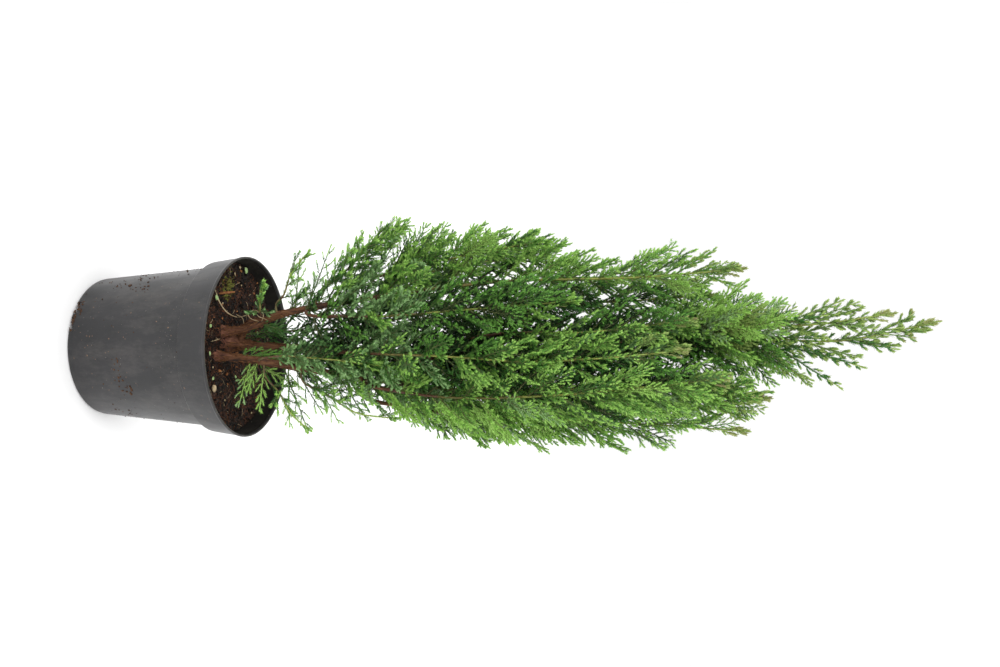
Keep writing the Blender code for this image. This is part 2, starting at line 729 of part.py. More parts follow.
def fused(name, stem, blades, finish):
    """Makes one closed body, the stem with its blades joined by a single union; False if none closes."""
    for solver in ("EXACT", "MANIFOLD"):
        body = add_object(name, stem.copy(), finish)
        pieces = bpy.data.collections.new(f"{name}_pieces")
        for index, piece in enumerate(blades):
            joined = add_object(f"{name}_piece_{index}", piece.copy(), finish)
            bpy.context.scene.collection.objects.unlink(joined)
            pieces.objects.link(joined)
        bpy.context.scene.collection.children.link(pieces)
        union = body.modifiers.new("union", "BOOLEAN")
        union.operation = "UNION"
        union.operand_type = "COLLECTION"
        union.collection = pieces
        union.solver = solver
        graph = bpy.context.evaluated_depsgraph_get()
        mesh = bpy.data.meshes.new_from_object(body.evaluated_get(graph))
        body.modifiers.clear()
        for joined in list(pieces.objects):
            bpy.data.objects.remove(joined, do_unlink=True)
        bpy.data.collections.remove(pieces)
        if keep_largest(mesh):
            body.data = mesh
            mesh.name = name
            return True
        bpy.data.objects.remove(body, do_unlink=True)
    return False


def keep_largest(mesh):
    """Drops loose scraps and sealed hollows; False if what is left isn't one closed surface."""
    bm = bmesh.new()
    bm.from_mesh(mesh)
    bmesh.ops.triangulate(bm, faces=bm.faces)
    bmesh.ops.remove_doubles(bm, verts=bm.verts, dist=MERGE_DISTANCE)
    bmesh.ops.dissolve_degenerate(bm, edges=bm.edges, dist=MERGE_DISTANCE)
    bmesh.ops.triangulate(bm, faces=bm.faces)
    unseen = set(bm.verts)
    islands = []
    while unseen:
        island = {unseen.pop()}
        edge_of_island = set(island)
        while edge_of_island:
            beyond = {edge.other_vert(vert) for vert in edge_of_island for edge in vert.link_edges}
            edge_of_island = (beyond - island) & unseen
            island |= edge_of_island
            unseen -= edge_of_island
        islands.append(island)
    islands.sort(key=len)
    loose = [vert for island in islands[:-1] for vert in island]
    bmesh.ops.delete(bm, geom=loose, context="VERTS")
    closed = all(edge.is_manifold for edge in bm.edges)
    bm.to_mesh(mesh)
    bm.free()
    return closed


def make_trunk(limb, finish):
    step = limb.route.length / TRUNK_RINGS
    solid = tube(limb, 0.0, limb.route.length, TRUNK_SIDES, step)
    add_object("trunk", solid, finish, LIMB_SMOOTH_ANGLE)


def make_bough(limb, finish):
    solid = tube(limb, 0.0, limb.bare, BOUGH_SIDES, BOUGH_RING_STEP)
    add_object(f"bough_{limb.name}", solid, finish, LIMB_SMOOTH_ANGLE)


def make_foliage(limb, plume, space, finish, rng):
    route = limb.route
    start = limb.bare + (GAP if limb.bare else 0.0)
    end = route.length - tip_length(limb) + STEM_INTO_TIP
    stem = tube(limb, start, end, TWIG_SIDES, TWIG_RING_STEP)
    spacing = SPRAY_SPACING / plume.density
    blades = [blade(spray) for spray in sprays_of(limb, plume.reach, space, spacing, rng)]
    while not fused(f"foliage_{limb.name}", stem, blades, finish):
        blades.pop(len(blades) // 2).free()
    for piece in blades + [stem]:
        piece.free()


def main():
    fresh_scene()
    plastic = material("pot_plastic", (0.062, 0.060, 0.062), 0.45)
    compost = material("compost", (0.022, 0.014, 0.010), 0.95)
    bark = material("bark", (0.110, 0.045, 0.024), 0.85)
    leaf = material("foliage", (0.080, 0.190, 0.045), 0.55)

    make_pot(plastic)
    make_soil(compost)
    limbs = build_limbs()
    space = Space(limbs)
    make_trunk(limbs["trunk"], bark)
    for index, plume in enumerate(PLUMES):
        limb = limbs[plume.name]
        if limb.bare > 0:
            make_bough(limb, bark)
        make_foliage(limb, plume, space, leaf, random.Random(SEED + index))


main()
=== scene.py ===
"""Looks for a young potted cypress: feathery sprays of fine needles in a dark nursery pot.

Metres, +Z up, the front is -Y. The sprays, boughs and stems grow by the same rule as the solids
that they stand for, carried on to finer twigs and needles.
"""

import math
import random
from collections import namedtuple

import bmesh
import bpy
import numpy as np
from mathutils import Matrix, Vector, noise


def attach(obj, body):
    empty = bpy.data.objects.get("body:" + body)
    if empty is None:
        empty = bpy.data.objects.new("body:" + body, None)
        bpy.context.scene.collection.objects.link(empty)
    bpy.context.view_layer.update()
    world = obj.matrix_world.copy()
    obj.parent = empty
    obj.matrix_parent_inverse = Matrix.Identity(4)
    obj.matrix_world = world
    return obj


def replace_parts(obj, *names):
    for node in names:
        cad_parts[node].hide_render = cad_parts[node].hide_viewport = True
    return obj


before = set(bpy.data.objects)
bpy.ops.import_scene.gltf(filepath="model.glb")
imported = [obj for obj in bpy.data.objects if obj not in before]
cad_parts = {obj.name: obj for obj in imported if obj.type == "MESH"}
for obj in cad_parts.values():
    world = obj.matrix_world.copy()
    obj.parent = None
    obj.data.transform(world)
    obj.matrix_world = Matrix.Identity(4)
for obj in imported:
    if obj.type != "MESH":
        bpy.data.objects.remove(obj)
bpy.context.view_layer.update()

GAP = 0.0003

# Pot and soil, with the source's sizes.
POT_HEIGHT = 0.1127
FOOT_RADIUS = 0.0504
RIM_RADIUS = 0.065
WALL = 0.0013
FLOOR = 0.0016
SHOULDER_HEIGHT = 0.0895
SHOULDER_RADIUS = 0.058
COLLAR_STEP = 0.0038
COLLAR_SLOPE = 0.0012
LIP = 0.0018
SLOT_WIDTH = 0.01
SLOT_HEIGHT = 0.0034
SLOT_DEPTH = 0.012
SLOT_PAIR_AZIMUTHS = (244.0, 4.0, 124.0)
SLOT_HALF_SPACING = 7.5
SOIL_LEVEL = 0.0975
SOIL_EDGE_RISE = 0.003
SOIL_LEVEL_RADIUS = 0.034
SOIL_LUMP = 0.0014
SOIL_LUMPS_PER_METRE = 90.0
SOIL_TOP_RADIUS = 0.0612

# Pot and soil, finer than the source.
POT_SIDES = 180
POT_AXIS_HOLE = 0.0006
POT_FOOT_RING = 0.03
POT_FOOT_BEVEL = 0.0006
POT_FOOT_BEVEL_HEIGHT = 0.0022
POT_ROUNDING = 0.0012
ROUNDING_STEPS = 4
ROUNDING_SHARE = 0.45
SHARP_ANGLE = math.radians(42)
SOIL_SIDES = 240
SOIL_RINGS = 90
SOIL_AXIS_HOLE = 0.0005
SOIL_TOP_HOLE = 0.0004
SOIL_GRAIN = 0.0017
SOIL_GRAINS_PER_METRE = 260.0
SOIL_GRAIN_DETAIL = (0.7, 2.2, 4)

# Trunk and limbs, with the source's sizes.
TRUNK_WAY = (
    (-0.003, -0.004, SOIL_LEVEL + GAP),
    (-0.001, -0.001, 0.112),
    (0.001, 0.001, 0.15),
    (0.005, 0.002, 0.215),
    (0.003, 0.0, 0.3),
    (-0.005, 0.0, 0.41),
)
TRUNK_RADIUS = 0.0037
TRUNK_TIP_RADIUS = 0.0015
TRUNK_FLARE = 0.0078
TRUNK_FLARE_HEIGHT = 0.005
ROOT_LOBES = 4
ROOT_LOBE_DEPTH = 0.3
LEAVING_SQUARENESS = 0.55
TWIG_TIP_RADIUS = 0.0008
STEM_FOOT_FLARE = 0.0022
STEM_FOOT_FLARE_HEIGHT = 0.004
STRAIGHT_START = 2.5
HEADING_STEP = 0.001
SEAT_STEP = 0.0001
SEAT_TESTS = 12

# Bark on the limbs. Ridges and strands: noise around the limb, along it per metre, share of the radius.
BARK_CORE = 0.84
COLLAR_TOP = 0.112
BARK_RIDGES = (2.6, 45, 0.1)
BARK_STRANDS = (6.5, 130, 0.07)
BARK_HOLLOW = 0.03
FOOT_UPRIGHT = 0.004
FOOT_DEPTH = 0.0035
BOUGH_OVERLAP = 0.0006
BOUGH_END = 0.001
STEM_OVERLAP = 0.0005
STOUT_RADIUS = 0.0025

# A limb's skin: step from ring to ring, sides, share of the relief, and seed.
Skin = namedtuple("Skin", "step sides relief seed")
TRUNK_SKIN = Skin(0.0011, 26, 1.0, 3.0)
STOUT_SKIN = Skin(0.0012, 22, 1.0, 10.0)
SLIM_SKIN = Skin(0.0012, 14, 1.0, 10.0)
STEM_SKIN = Skin(0.0035, 8, 0.6, 40.0)
ROOT_SKIN = Skin(0.001, 26, 1.5, 70.0)

# A stem gets slimmer where its leafy part starts, and the low young boughs are thinner throughout.
SLIMMING = 0.3
SLIMMING_SPAN = 0.03
THIN_BOUGHS = ("low_left", "low_right", "mid_left", "mid_right", "low_front", "low_back")
THINNING = 0.72

# Loose strands of bark on the feet of the stems.
LOOSE_REACH = 0.075
LOOSE_PITCH = 0.00036
LOOSE_CROWDING = 1.6
LOOSE_LENGTHS = (0.003, 0.008)
LOOSE_RADII = (0.00012, 0.00038)
LOOSE_LIFTS = (0.2, 1.2)
LOOSE_END_LIFT = 0.0009
LOOSE_TURN = 0.16

# Sprays, with the source's rule.
GOLDEN_ANGLE = math.radians(137.5)
SPRAY_FADE = 0.022
SPRAY_FADE_START = 0.008
SPRAY_INWARD_LOSS = 0.16
CROWN_MIDDLE = 0.045
SPRAY_MINIMUM = 0.01
SPRAY_ANGLE_LOW = math.radians(50)
SPRAY_ANGLE_TIP = math.radians(30)
SPRAY_ANGLE_GROWTH = 1.3
SPRAY_RISE = 0.22
SPRAY_TWIST = 0.8
SPRAY_LENGTH_SPREAD = (0.82, 1.14)
SPRAY_ANGLE_SPREAD = (0.85, 1.12)
SPRAY_STEP_SPREAD = (0.8, 1.2)
SPRAY_TURN_SPREAD = 0.35
TIP_SPRAY = 0.026
TIP_SPRAY_SHARE = 0.4
CLEAR_OF_POT = 0.003
CLEAR_OF_SOIL = 0.007
CLEAR_OF_RIM = 0.006
SEED = 7

# Finer growth that only the looks have.
FINE_SPACING = 0.0034
FINE_FIRST = 0.003
LONG_BARE = 0.02
LOW_START = 0.36
LOW_REACH = 0.62
FULL_REACH = 0.9
TAPER = 0.8
TOP_TAPER = 0.56
TAPER_END = 0.004
LAST_SPRAY = 0.35
SHRINKS = (1.0, 0.86, 0.74, 0.62, 0.5, 0.4)
PATH_SHARES = (0.4, 0.6, 0.8, 1.0)
CROWN_SLACK = (-0.011, 0.005)
BARE_FRONT_HEIGHTS = {"left": 0.176, "right": 0.16, "low_front": 0.152}
BARE_FRONT_LEAN = -0.25
BARE_SIDE_HEIGHTS = {"right": 0.185}
BARE_SIDE_LEAN = 0.15
BRUSH_SPACING = {"low_left": 1.8, "low_right": 1.6, "mid_right": 0.9, "mid_left": 0.6}
BRUSH_RISE = 0.05
STEM_SHOWS = {"left": (0.24, 0.44), "front": (0.34, 0.41)}
STEM_SHOWS_REACH = 0.35
STEM_SHOWS_FORWARD = -0.4
STEM_SHOWS_ASIDE = 0.45
SHOOT_ZONES = {"top": 0.105, "second_top": 0.085}
SHOOT_ZONE = 0.024
SHOOT_SPACING = 2.4
TOP_SHOOT_SPACING = 3.4
SHOOT_STEEPNESS = 0.8
OLIVE_TIP_HEIGHT = 0.4

# Side twigs of a spray.
TWIG_FIRST = 0.1
TWIG_FIRST_SPREAD = 0.03
TWIG_LAST = 0.95
TWIG_TILT = 0.55
TWIG_ANGLES = (0.55, 0.8)
TWIG_ANGLE_LOSS = 0.15
TWIG_FADE = 0.6
TWIG_LOW_SHARE = 0.35
TWIG_LOW_GROWTH = 2.6
TWIG_LENGTHS = (0.72, 1.15)
TWIG_LEAST = 0.0022
TWIG_MOST = 0.9
TWIG_MOST_END = 0.004
TWIG_RISE = 0.18
TWIG_TIPS_FROM = (0.4, 0.72)
RIB_RADIUS = 0.00034
RIB_THICKENING = 0.006
RIB_NEEDLE_CLOSING = 0.03
RIB_TIP_FROM = 0.82
TWIG_RADIUS = 0.00028

# Short shoots on a long side twig.
SHOOT_FIRST = (0.26, 0.4)
SHOOT_LAST = 0.84
SHOOT_ANGLES = (0.5, 0.75)
SHOOT_LONGEST = 0.0052
SHOOT_SHARE = 0.42
SHOOT_LENGTHS = (0.7, 1.1)
SHOOT_FADE = (1.15, 0.5)
SHOOT_RISE = 0.1
SHOOT_RADIUS = 0.00024
SHOOT_NEEDLE = 0.9
SHOOT_NEEDLE_WIDTH = 0.95
SHOOT_NEEDLE_ANGLE = 0.64
SHOOT_TIP_FROM = 0.35
SHOOT_STEPS = (0.003, 0.0042)

# Needles on their twig, shorter and broader near its tip; and the twig's own mesh, with the share of
# its radius at shares of its length.
FIRST_NEEDLE = 0.7
TIP_CROWDING = 1.2
CLUB_FROM = 0.8
CLUB_LENGTH = 0.68
CLUB_WIDTH = 1.15
NEEDLE_TURN_SPREAD = 0.25
NEEDLE_ANGLE_SPREAD = (0.8, 1.25)
NEEDLE_LENGTH_SPREAD = (0.8, 1.15)
FACING_ANGLE = 0.85
NEEDLE_CLOSING = 0.3
NEEDLE_LEAST = 0.0012
NEEDLE_TWIG_SHARE = 0.8
NEEDLE_WIDEST = 0.42
NEEDLE_KEEL = 0.12
KEEL_SHARE = 0.35
NEEDLE_SWEEP = 0.1
TWIG_STATIONS = ((0.0, 1.0), (0.5, 0.8))
TWIG_MESH_END = 0.97
MOST_NEEDLES = 92000

# Spray styles: a full flat spray, a narrow young shoot at a leader's tip, an open frond, a thin shoot
# like a brush, and a coarser spray for the inside of the crown.
Style = namedtuple(
    "Style", "share longest steps rib_needle rib_width rib_pitch needle width pitch angle branching")
FLAT = Style(0.34, 0.015, (0.0018, 0.0028), 0.003, 0.0009, 0.0012, 0.0027, 0.0008, 0.00076, 0.58, 0.0074)
SHOOT = Style(0.3, 0.0058, (0.0032, 0.0046), 0.0046, 0.0009, 0.0012, 0.0037, 0.00125, 0.00064, 0.58, 0.02)
FERN = Style(0.27, 0.01, (0.0024, 0.004), 0.0036, 0.0007, 0.0009, 0.0029, 0.00064, 0.00072, 0.72, 0.009)
BRUSH = Style(0.42, 0.014, (0.0042, 0.007), 0.0034, 0.00072, 0.0008, 0.0031, 0.00074, 0.00075, 0.9, 0.02)
COARSE = Style(0.36, 0.015, (0.0027, 0.004), 0.0036, 0.0011, 0.0016, 0.0034, 0.00105, 0.00105, 0.6, 0.009)
STYLES = {"core": COARSE, "sprig": FERN, **{name: BRUSH for name in BRUSH_SPACING}}

# The leafy stem itself: its needles, and the bunch of young shoots at its tip, whose needles have a
# pitch, length, width and angle.
Leader = namedtuple("Leader", "needle width angle low_pitch high_pitch shoots")
LEADER = Leader(0.0044, 0.00085, 0.5, 0.0022, 0.0012, 5)
THIN_LEADER = Leader(0.0032, 0.00062, 0.85, 0.0006, 0.0006, 2)
LEADER_PIECE = 0.012
LEADER_TIP_FROM = 0.8
LEADER_MID_TO = 0.45
NO_TIP = 2.0
TIP_SHOOT_BACK = 0.0042
TIP_SHOOT_PITCH = 0.0032
TIP_SHOOT_TURN = 0.3
TIP_SHOOT_LEANS = (0.1, 0.38)
TIP_SHOOT_BROWN = 0.2
TIP_SHOOT_LENGTHS = (0.42, 0.62)
TIP_SHOOT_LEAST = 0.0018
TIP_SHOOT_RISE = 0.12
TIP_SHOOT_RADIUS = 0.0004
TIP_SHOOT_NEEDLES = (0.0005, 0.0034, 0.0011, 0.82)
TIP_SHOOT_TIP_FROM = 0.45

# Colours of the needles, and the next darker and lighter of each, for painted shade and painted light.
NEEDLE_COLOURS = {
    "deep": (0.013, 0.045, 0.009),
    "mid": (0.051, 0.156, 0.027),
    "bright": (0.139, 0.328, 0.057),
    "fresh": (0.318, 0.548, 0.12),
    "blue": (0.098, 0.212, 0.064),
    "frost": (0.27, 0.45, 0.18),
    "grey": (0.165, 0.285, 0.072),
    "pale": (0.3, 0.42, 0.115),
    "olive": (0.36, 0.4, 0.15),
    "brown": (0.33, 0.3, 0.14),
}
TONES = tuple(NEEDLE_COLOURS)
PAINTED_SHADE_TONES = {
    "mid": "deep", "bright": "mid", "fresh": "bright", "blue": "deep", "frost": "blue", "grey": "mid",
    "pale": "bright",
}
PAINTED_LIGHT_TONES = {"deep": "mid", "mid": "bright", "bright": "fresh", "blue": "frost", "grey": "pale"}

# How tones are dealt to the sprays of each kind of place: up to a chance, the tones of spray and tip.
DEALS = {
    "brush": ((0.5, "mid", "fresh"), (0.8, "bright", "fresh"), (1.0, "blue", "frost")),
    "top": ((1.0, "grey", "pale"),),
    "below top": ((0.5, "grey", "pale"), (1.0, "mid", "pale")),
    "top stem": ((1.0, "mid", "bright"),),
    "top side": ((0.5, "blue", "fresh"), (1.0, "bright", "fresh")),
    "tip": ((0.3, "grey", "pale"), (0.75, "bright", "pale")),
    "low front": ((0.7, "blue", "frost"), (1.0, "mid", "fresh")),
    "low": ((0.35, "blue", "frost"), (0.55, "mid", "frost")),
    # inner and inward: deep tones, painted shade inside the crown and partly the darker green of older
    # needles.
    "inner": ((0.55, "deep", "deep"), (1.0, "deep", "mid")),
    "inward": ((0.8, "deep", "mid"),),
    "light": ((0.6, "bright", "fresh"),),
    "other": (
        (0.1, "mid", "bright"), (0.45, "mid", "fresh"), (0.8, "bright", "fresh"), (1.0, "blue", "fresh"),
    ),
}
LIGHT_PLUMES = ("left", "right_outer", "front")
LOW_FRONT_PLUMES = ("low_front", "front_left_low", "front_middle")
HEIGHT_SPREAD = 0.012
TOP_FROM = 0.5
BELOW_TOP_FROM = 0.475
TOP_STEM_RADIUS = 0.015
TIP_ZONE = 0.045
LOW_FRONT_TO = 0.24
LOW_FRONT_Y = -0.015
LOW_TO = 0.25
LIGHT_FROM = 0.3
# Where sprays take deep tones as painted shade inside the crown, partly the darker green of older needles.
INNER_MOST = 0.034
INNER_FOOT = 0.085
INNER_TOP = 0.5
INNER_SPAN = 0.25
INNER_SPREAD = (0.85, 1.15)
INWARD_TO = 0.4
INWARD_HALF_WIDTH = 0.04

# Finishes. A grain is mottled between two colours: grains per metre and roughness.
GRAINS = {
    # The pot's inside is dark brown-black: soil stain, and painted shade in the hollow of the pot.
    "pot_inside": ((0.007, 0.006, 0.005), (0.022, 0.018, 0.014), 120.0, 0.75),
    # The lip's lighter grey is a painted highlight along the rim.
    "pot_lip_painted_highlight": ((0.026, 0.025, 0.024), (0.07, 0.065, 0.057), 160.0, 0.45),
    # Near black: black peat and roots, and painted shade of the hollows between crumbs.
    "compost_black": ((0.003, 0.002, 0.002), (0.009, 0.006, 0.004), 600.0, 0.6),
    "compost_fibre": ((0.055, 0.02, 0.011), (0.17, 0.07, 0.034), 700.0, 0.9),
    "bark_chip": ((0.23, 0.085, 0.032), (0.45, 0.2, 0.08), 700.0, 0.9),
    "moss": ((0.06, 0.07, 0.014), (0.2, 0.19, 0.04), 700.0, 0.9),
    "dry_grass": ((0.33, 0.24, 0.13), (0.6, 0.48, 0.3), 500.0, 0.7),
    "leaf_bit": ((0.22, 0.35, 0.12), (0.42, 0.56, 0.26), 300.0, 0.6),
    "dust": ((0.14, 0.13, 0.12), (0.34, 0.32, 0.29), 700.0, 0.9),
    "dried_soil": ((0.022, 0.013, 0.009), (0.115, 0.06, 0.034), 900.0, 0.9),
    "bark_strands": ((0.064, 0.024, 0.011), (0.28, 0.13, 0.058), 500.0, 0.9),
}

# A young stem is streaked between two colours: streaks per metre.
STEMS = {
    "young_bough": ((0.075, 0.05, 0.022), (0.18, 0.15, 0.055), 500.0),
    "stem_brown": ((0.07, 0.03, 0.016), (0.19, 0.09, 0.045), 500.0),
    "stem_olive": ((0.12, 0.098, 0.026), (0.24, 0.21, 0.055), 500.0),
    "stem_green": ((0.21, 0.235, 0.04), (0.37, 0.38, 0.085), 500.0),
    "twig": ((0.085, 0.09, 0.03), (0.17, 0.19, 0.06), 900.0),
}

# Stems inside the foliage: piece, finish, and where it starts and ends on the leafy part.
STEM_PARTS = (
    ("stems_brown", "stem_brown", 0.0, 0.16),
    ("stems_olive", "stem_olive", 0.16, 0.42),
    ("stems_green", "stem_green", 0.42, 0.985),
)

# Camera and light.
CAMERA_PLACE = (-0.0095, -0.6355, 0.4305)
CAMERA_PITCH = math.radians(11.818)
CAMERA_LENS = 34.2
CAMERA_SENSOR = 36.0
LIGHT_TARGET = (0.0, 0.0, 0.25)
LIGHTS = (
    ("key", (-1.1, -1.5, 1.9), 1.8, 30.0),
    ("fill", (1.5, -1.1, 0.9), 1.2, 6.0),
    ("top", (0.1, 0.5, 2.2), 1.2, 14.0),
)
WORLD_STRENGTH = 1.05
FLOOR_RADIUS = 60.0

# The crown's sides as the photograph shows them: (height, x).
CROWN_LEFT = (
    (0.13, -0.062), (0.18, -0.071), (0.217, -0.076), (0.233, -0.089), (0.295, -0.088), (0.341, -0.075),
    (0.367, -0.068), (0.41, -0.065), (0.45, -0.058), (0.462, -0.05), (0.468, -0.035), (0.5, -0.031),
    (0.527, -0.03), (0.545, -0.025), (0.58, -0.02),
)
CROWN_RIGHT = (
    (0.13, 0.056), (0.165, 0.052), (0.188, 0.043), (0.232, 0.045), (0.25, 0.053), (0.27, 0.066),
    (0.316, 0.07), (0.35, 0.07), (0.373, 0.067), (0.415, 0.058), (0.43, 0.05), (0.46, 0.049),
    (0.475, 0.032), (0.49, 0.021), (0.516, 0.024), (0.531, 0.015), (0.56, -0.004), (0.58, -0.01),
)
CROWN_DEPTH = 0.073

# Painted shade and painted light on the front of the crown: darker tones between plumes, lighter
# tones where plumes stand out: (x, height, half width, half height).
SHADED = (
    (-0.037, 0.3, 0.017, 0.044), (-0.014, 0.288, 0.018, 0.038), (-0.022, 0.392, 0.01, 0.03),
    (0.013, 0.41, 0.01, 0.014), (-0.012, 0.187, 0.022, 0.024),
)
LIT = (
    (-0.058, 0.298, 0.011, 0.026), (-0.041, 0.404, 0.01, 0.026), (-0.016, 0.456, 0.022, 0.026),
    (0.037, 0.247, 0.018, 0.036), (0.042, 0.306, 0.014, 0.03), (0.03, 0.4, 0.01, 0.014),
)
FRONT_SIDE = 0.012

# Fronds, each with its root, tip, side axis, and tones: low on the stems, then thin shoots out to the
# left and right, shoots at the very top, and sprays on the upper crown's sides.
ACROSS = (1.0, 0.2, 0.0)
FRONDS = (
    ((0.0138, -0.019, 0.1223), (0.0401, -0.028, 0.1185), (0.0, 0.5, 0.9), "fresh", "frost"),
    ((0.0149, -0.019, 0.1286), (0.0439, -0.02, 0.13), (0.1, 0.4, 0.9), "fresh", "fresh"),
    ((0.0145, -0.018, 0.127), (0.03, -0.03, 0.126), (0.0, 0.6, 0.8), "fresh", "fresh"),
    ((0.015, -0.018, 0.132), (0.026, -0.012, 0.152), (0.9, 0.2, -0.3), "fresh", "fresh"),
    ((0.0057, -0.014, 0.108), (0.0044, -0.015, 0.142), ACROSS, "bright", "bright"),
    ((0.007, -0.012, 0.118), (0.009, -0.008, 0.148), (1.0, 0.1, 0.0), "mid", "bright"),
    ((-0.012, 0.0, 0.106), (-0.0135, 0.002, 0.147), ACROSS, "mid", "mid"),
    ((-0.009, 0.004, 0.108), (-0.008, 0.01, 0.152), (1.0, -0.2, 0.0), "deep", "mid"),
    ((-0.015, -0.008, 0.123), (-0.01, -0.012, 0.148), (1.0, 0.3, 0.1), "mid", "blue"),
)
SIDE_SHOOTS = (
    ((-0.023, -0.015, 0.153), (-0.0608, -0.022, 0.1611), (0.2, 0.3, 0.9), "bright", "fresh"),
    ((-0.025, -0.015, 0.163), (-0.07, -0.018, 0.1821), (0.4, 0.3, 0.9), "mid", "fresh"),
    ((-0.027, -0.016, 0.17), (-0.0622, -0.02, 0.1902), (0.4, 0.5, 0.7), "bright", "fresh"),
    ((-0.028, -0.014, 0.177), (-0.0653, -0.022, 0.1982), (0.4, 0.2, 0.9), "mid", "fresh"),
    ((-0.029, -0.016, 0.184), (-0.0688, -0.02, 0.2052), (0.4, 0.5, 0.8), "bright", "frost"),
    ((-0.03, -0.016, 0.191), (-0.0722, -0.018, 0.2165), (0.4, 0.3, 0.8), "mid", "fresh"),
    ((-0.028, -0.018, 0.164), (-0.048, -0.03, 0.1767), (0.5, 0.3, 0.7), "blue", "frost"),
    ((-0.034, -0.014, 0.203), (-0.074, -0.016, 0.229), (0.4, 0.4, 0.8), "mid", "fresh"),
    ((-0.038, -0.014, 0.193), (-0.07, -0.02, 0.206), (0.3, 0.3, 0.9), "bright", "fresh"),
    ((-0.036, -0.014, 0.213), (-0.066, -0.014, 0.242), (0.6, 0.3, 0.7), "mid", "fresh"),
    ((-0.033, -0.014, 0.185), (-0.056, -0.004, 0.21), (0.6, 0.4, 0.6), "bright", "bright"),
    ((0.013, -0.018, 0.146), (0.0583, -0.02, 0.1664), (-0.4, 0.3, 0.9), "mid", "fresh"),
    ((0.014, -0.019, 0.15), (0.054, -0.026, 0.1552), (-0.1, 0.4, 0.9), "bright", "fresh"),
    ((0.0145, -0.018, 0.154), (0.0457, -0.018, 0.176), (-0.5, 0.3, 0.8), "mid", "fresh"),
    ((0.016, -0.018, 0.166), (0.051, -0.02, 0.1883), (-0.5, 0.4, 0.8), "bright", "fresh"),
    ((0.018, -0.018, 0.178), (0.0404, -0.022, 0.1976), (-0.5, 0.3, 0.7), "blue", "frost"),
    ((0.0195, -0.018, 0.186), (0.05, -0.02, 0.2094), (-0.5, 0.5, 0.7), "bright", "fresh"),
    ((0.019, -0.022, 0.18), (0.0215, -0.038, 0.2084), (0.9, 0.3, 0.2), "blue", "frost"),
    ((0.014, -0.022, 0.158), (0.0038, -0.035, 0.1883), (0.9, 0.3, 0.2), "blue", "frost"),
    ((0.012, -0.022, 0.145), (-0.0006, -0.034, 0.1703), (0.9, 0.3, 0.3), "blue", "frost"),
)
TOP_SHOOTS = (
    ((-0.0065, 0.0, 0.47), (0.0246, -0.004, 0.5178), ACROSS, "mid", "pale"),
    ((-0.006, 0.0, 0.476), (0.0119, -0.004, 0.5322), ACROSS, "mid", "pale"),
    ((-0.0055, 0.0, 0.521), (0.0002, -0.003, 0.5513), ACROSS, "mid", "pale"),
    ((-0.0095, 0.0, 0.545), (-0.007, -0.003, 0.5609), ACROSS, "grey", "olive"),
    ((-0.0112, 0.0, 0.549), (-0.0217, -0.003, 0.5604), ACROSS, "grey", "olive"),
    ((-0.015, -0.009, 0.49), (-0.0289, -0.009, 0.5275), ACROSS, "grey", "pale"),
    ((-0.0148, -0.009, 0.48), (-0.0299, -0.009, 0.5177), ACROSS, "grey", "pale"),
    ((-0.0158, -0.009, 0.508), (-0.0148, -0.01, 0.5303), ACROSS, "grey", "pale"),
)
UPPER_SPRAYS = (
    ((-0.064, -0.012, 0.201), (-0.085, -0.016, 0.238), (0.7, 0.3, 0.5), "bright", "fresh"),
    ((-0.057, -0.012, 0.195), (-0.079, -0.019, 0.233), (0.6, 0.3, 0.7), "bright", "fresh"),
    ((-0.053, -0.01, 0.232), (-0.083, -0.017, 0.25), (0.4, 0.3, 0.8), "bright", "fresh"),
    ((-0.0545, -0.01, 0.24), (-0.084, -0.014, 0.264), (0.5, 0.3, 0.8), "bright", "fresh"),
    ((-0.05, -0.011, 0.223), (-0.076, -0.02, 0.24), (0.4, 0.4, 0.8), "mid", "fresh"),
    ((-0.007, -0.001, 0.4562), (0.0175, -0.006, 0.4904), ACROSS, "mid", "fresh"),
    ((-0.0075, 0.0, 0.448), (0.024, -0.006, 0.4775), ACROSS, "mid", "fresh"),
    ((-0.0148, -0.009, 0.471), (-0.0259, -0.01, 0.49), ACROSS, "mid", "pale"),
    ((-0.0144, -0.009, 0.453), (-0.0324, -0.01, 0.4695), ACROSS, "mid", "fresh"),
    ((-0.0141, -0.009, 0.44), (-0.034, -0.012, 0.4571), ACROSS, "mid", "fresh"),
    ((-0.0095, -0.005, 0.411), (-0.0379, -0.016, 0.4353), ACROSS, "mid", "fresh"),
    ((-0.0078, -0.001, 0.43), (0.0246, -0.01, 0.4655), ACROSS, "mid", "fresh"),
    ((-0.006, -0.002, 0.413), (0.0217, -0.014, 0.4468), ACROSS, "bright", "fresh"),
    ((0.0297, -0.02, 0.444), (0.0423, -0.012, 0.4648), ACROSS, "mid", "pale"),
    ((0.0495, -0.008, 0.386), (0.061, -0.014, 0.4139), ACROSS, "mid", "fresh"),
)

# Dried soil and pale dust on the pot: azimuth, spread (0 for all round), lowest and highest place,
# how many, largest size.
POT_DIRT = (
    (0, 0, 0.004, 0.11, 150, 0.0005),
    (203, 8, 0.03, 0.088, 34, 0.001),
    (219, 4, 0.036, 0.056, 14, 0.0014),
    (287, 5, 0.036, 0.044, 12, 0.001),
    (302, 4, 0.038, 0.048, 12, 0.0014),
    (330, 5, 0.02, 0.04, 10, 0.001),
    (238, 4, 0.001, 0.008, 22, 0.0013),
    (252, 4, 0.001, 0.005, 10, 0.0012),
    (215, 9, 0.002, 0.03, 16, 0.0008),
    (100, 30, 0.002, 0.07, 40, 0.001),
    (20, 25, 0.002, 0.06, 30, 0.001),
)
POT_DUST = (
    (0, 0, 0.01, 0.088, 190, 0.0003),
    (270, 50, 0.079, 0.0885, 60, 0.00026),
    (0, 0, 0.092, 0.11, 100, 0.00028),
)

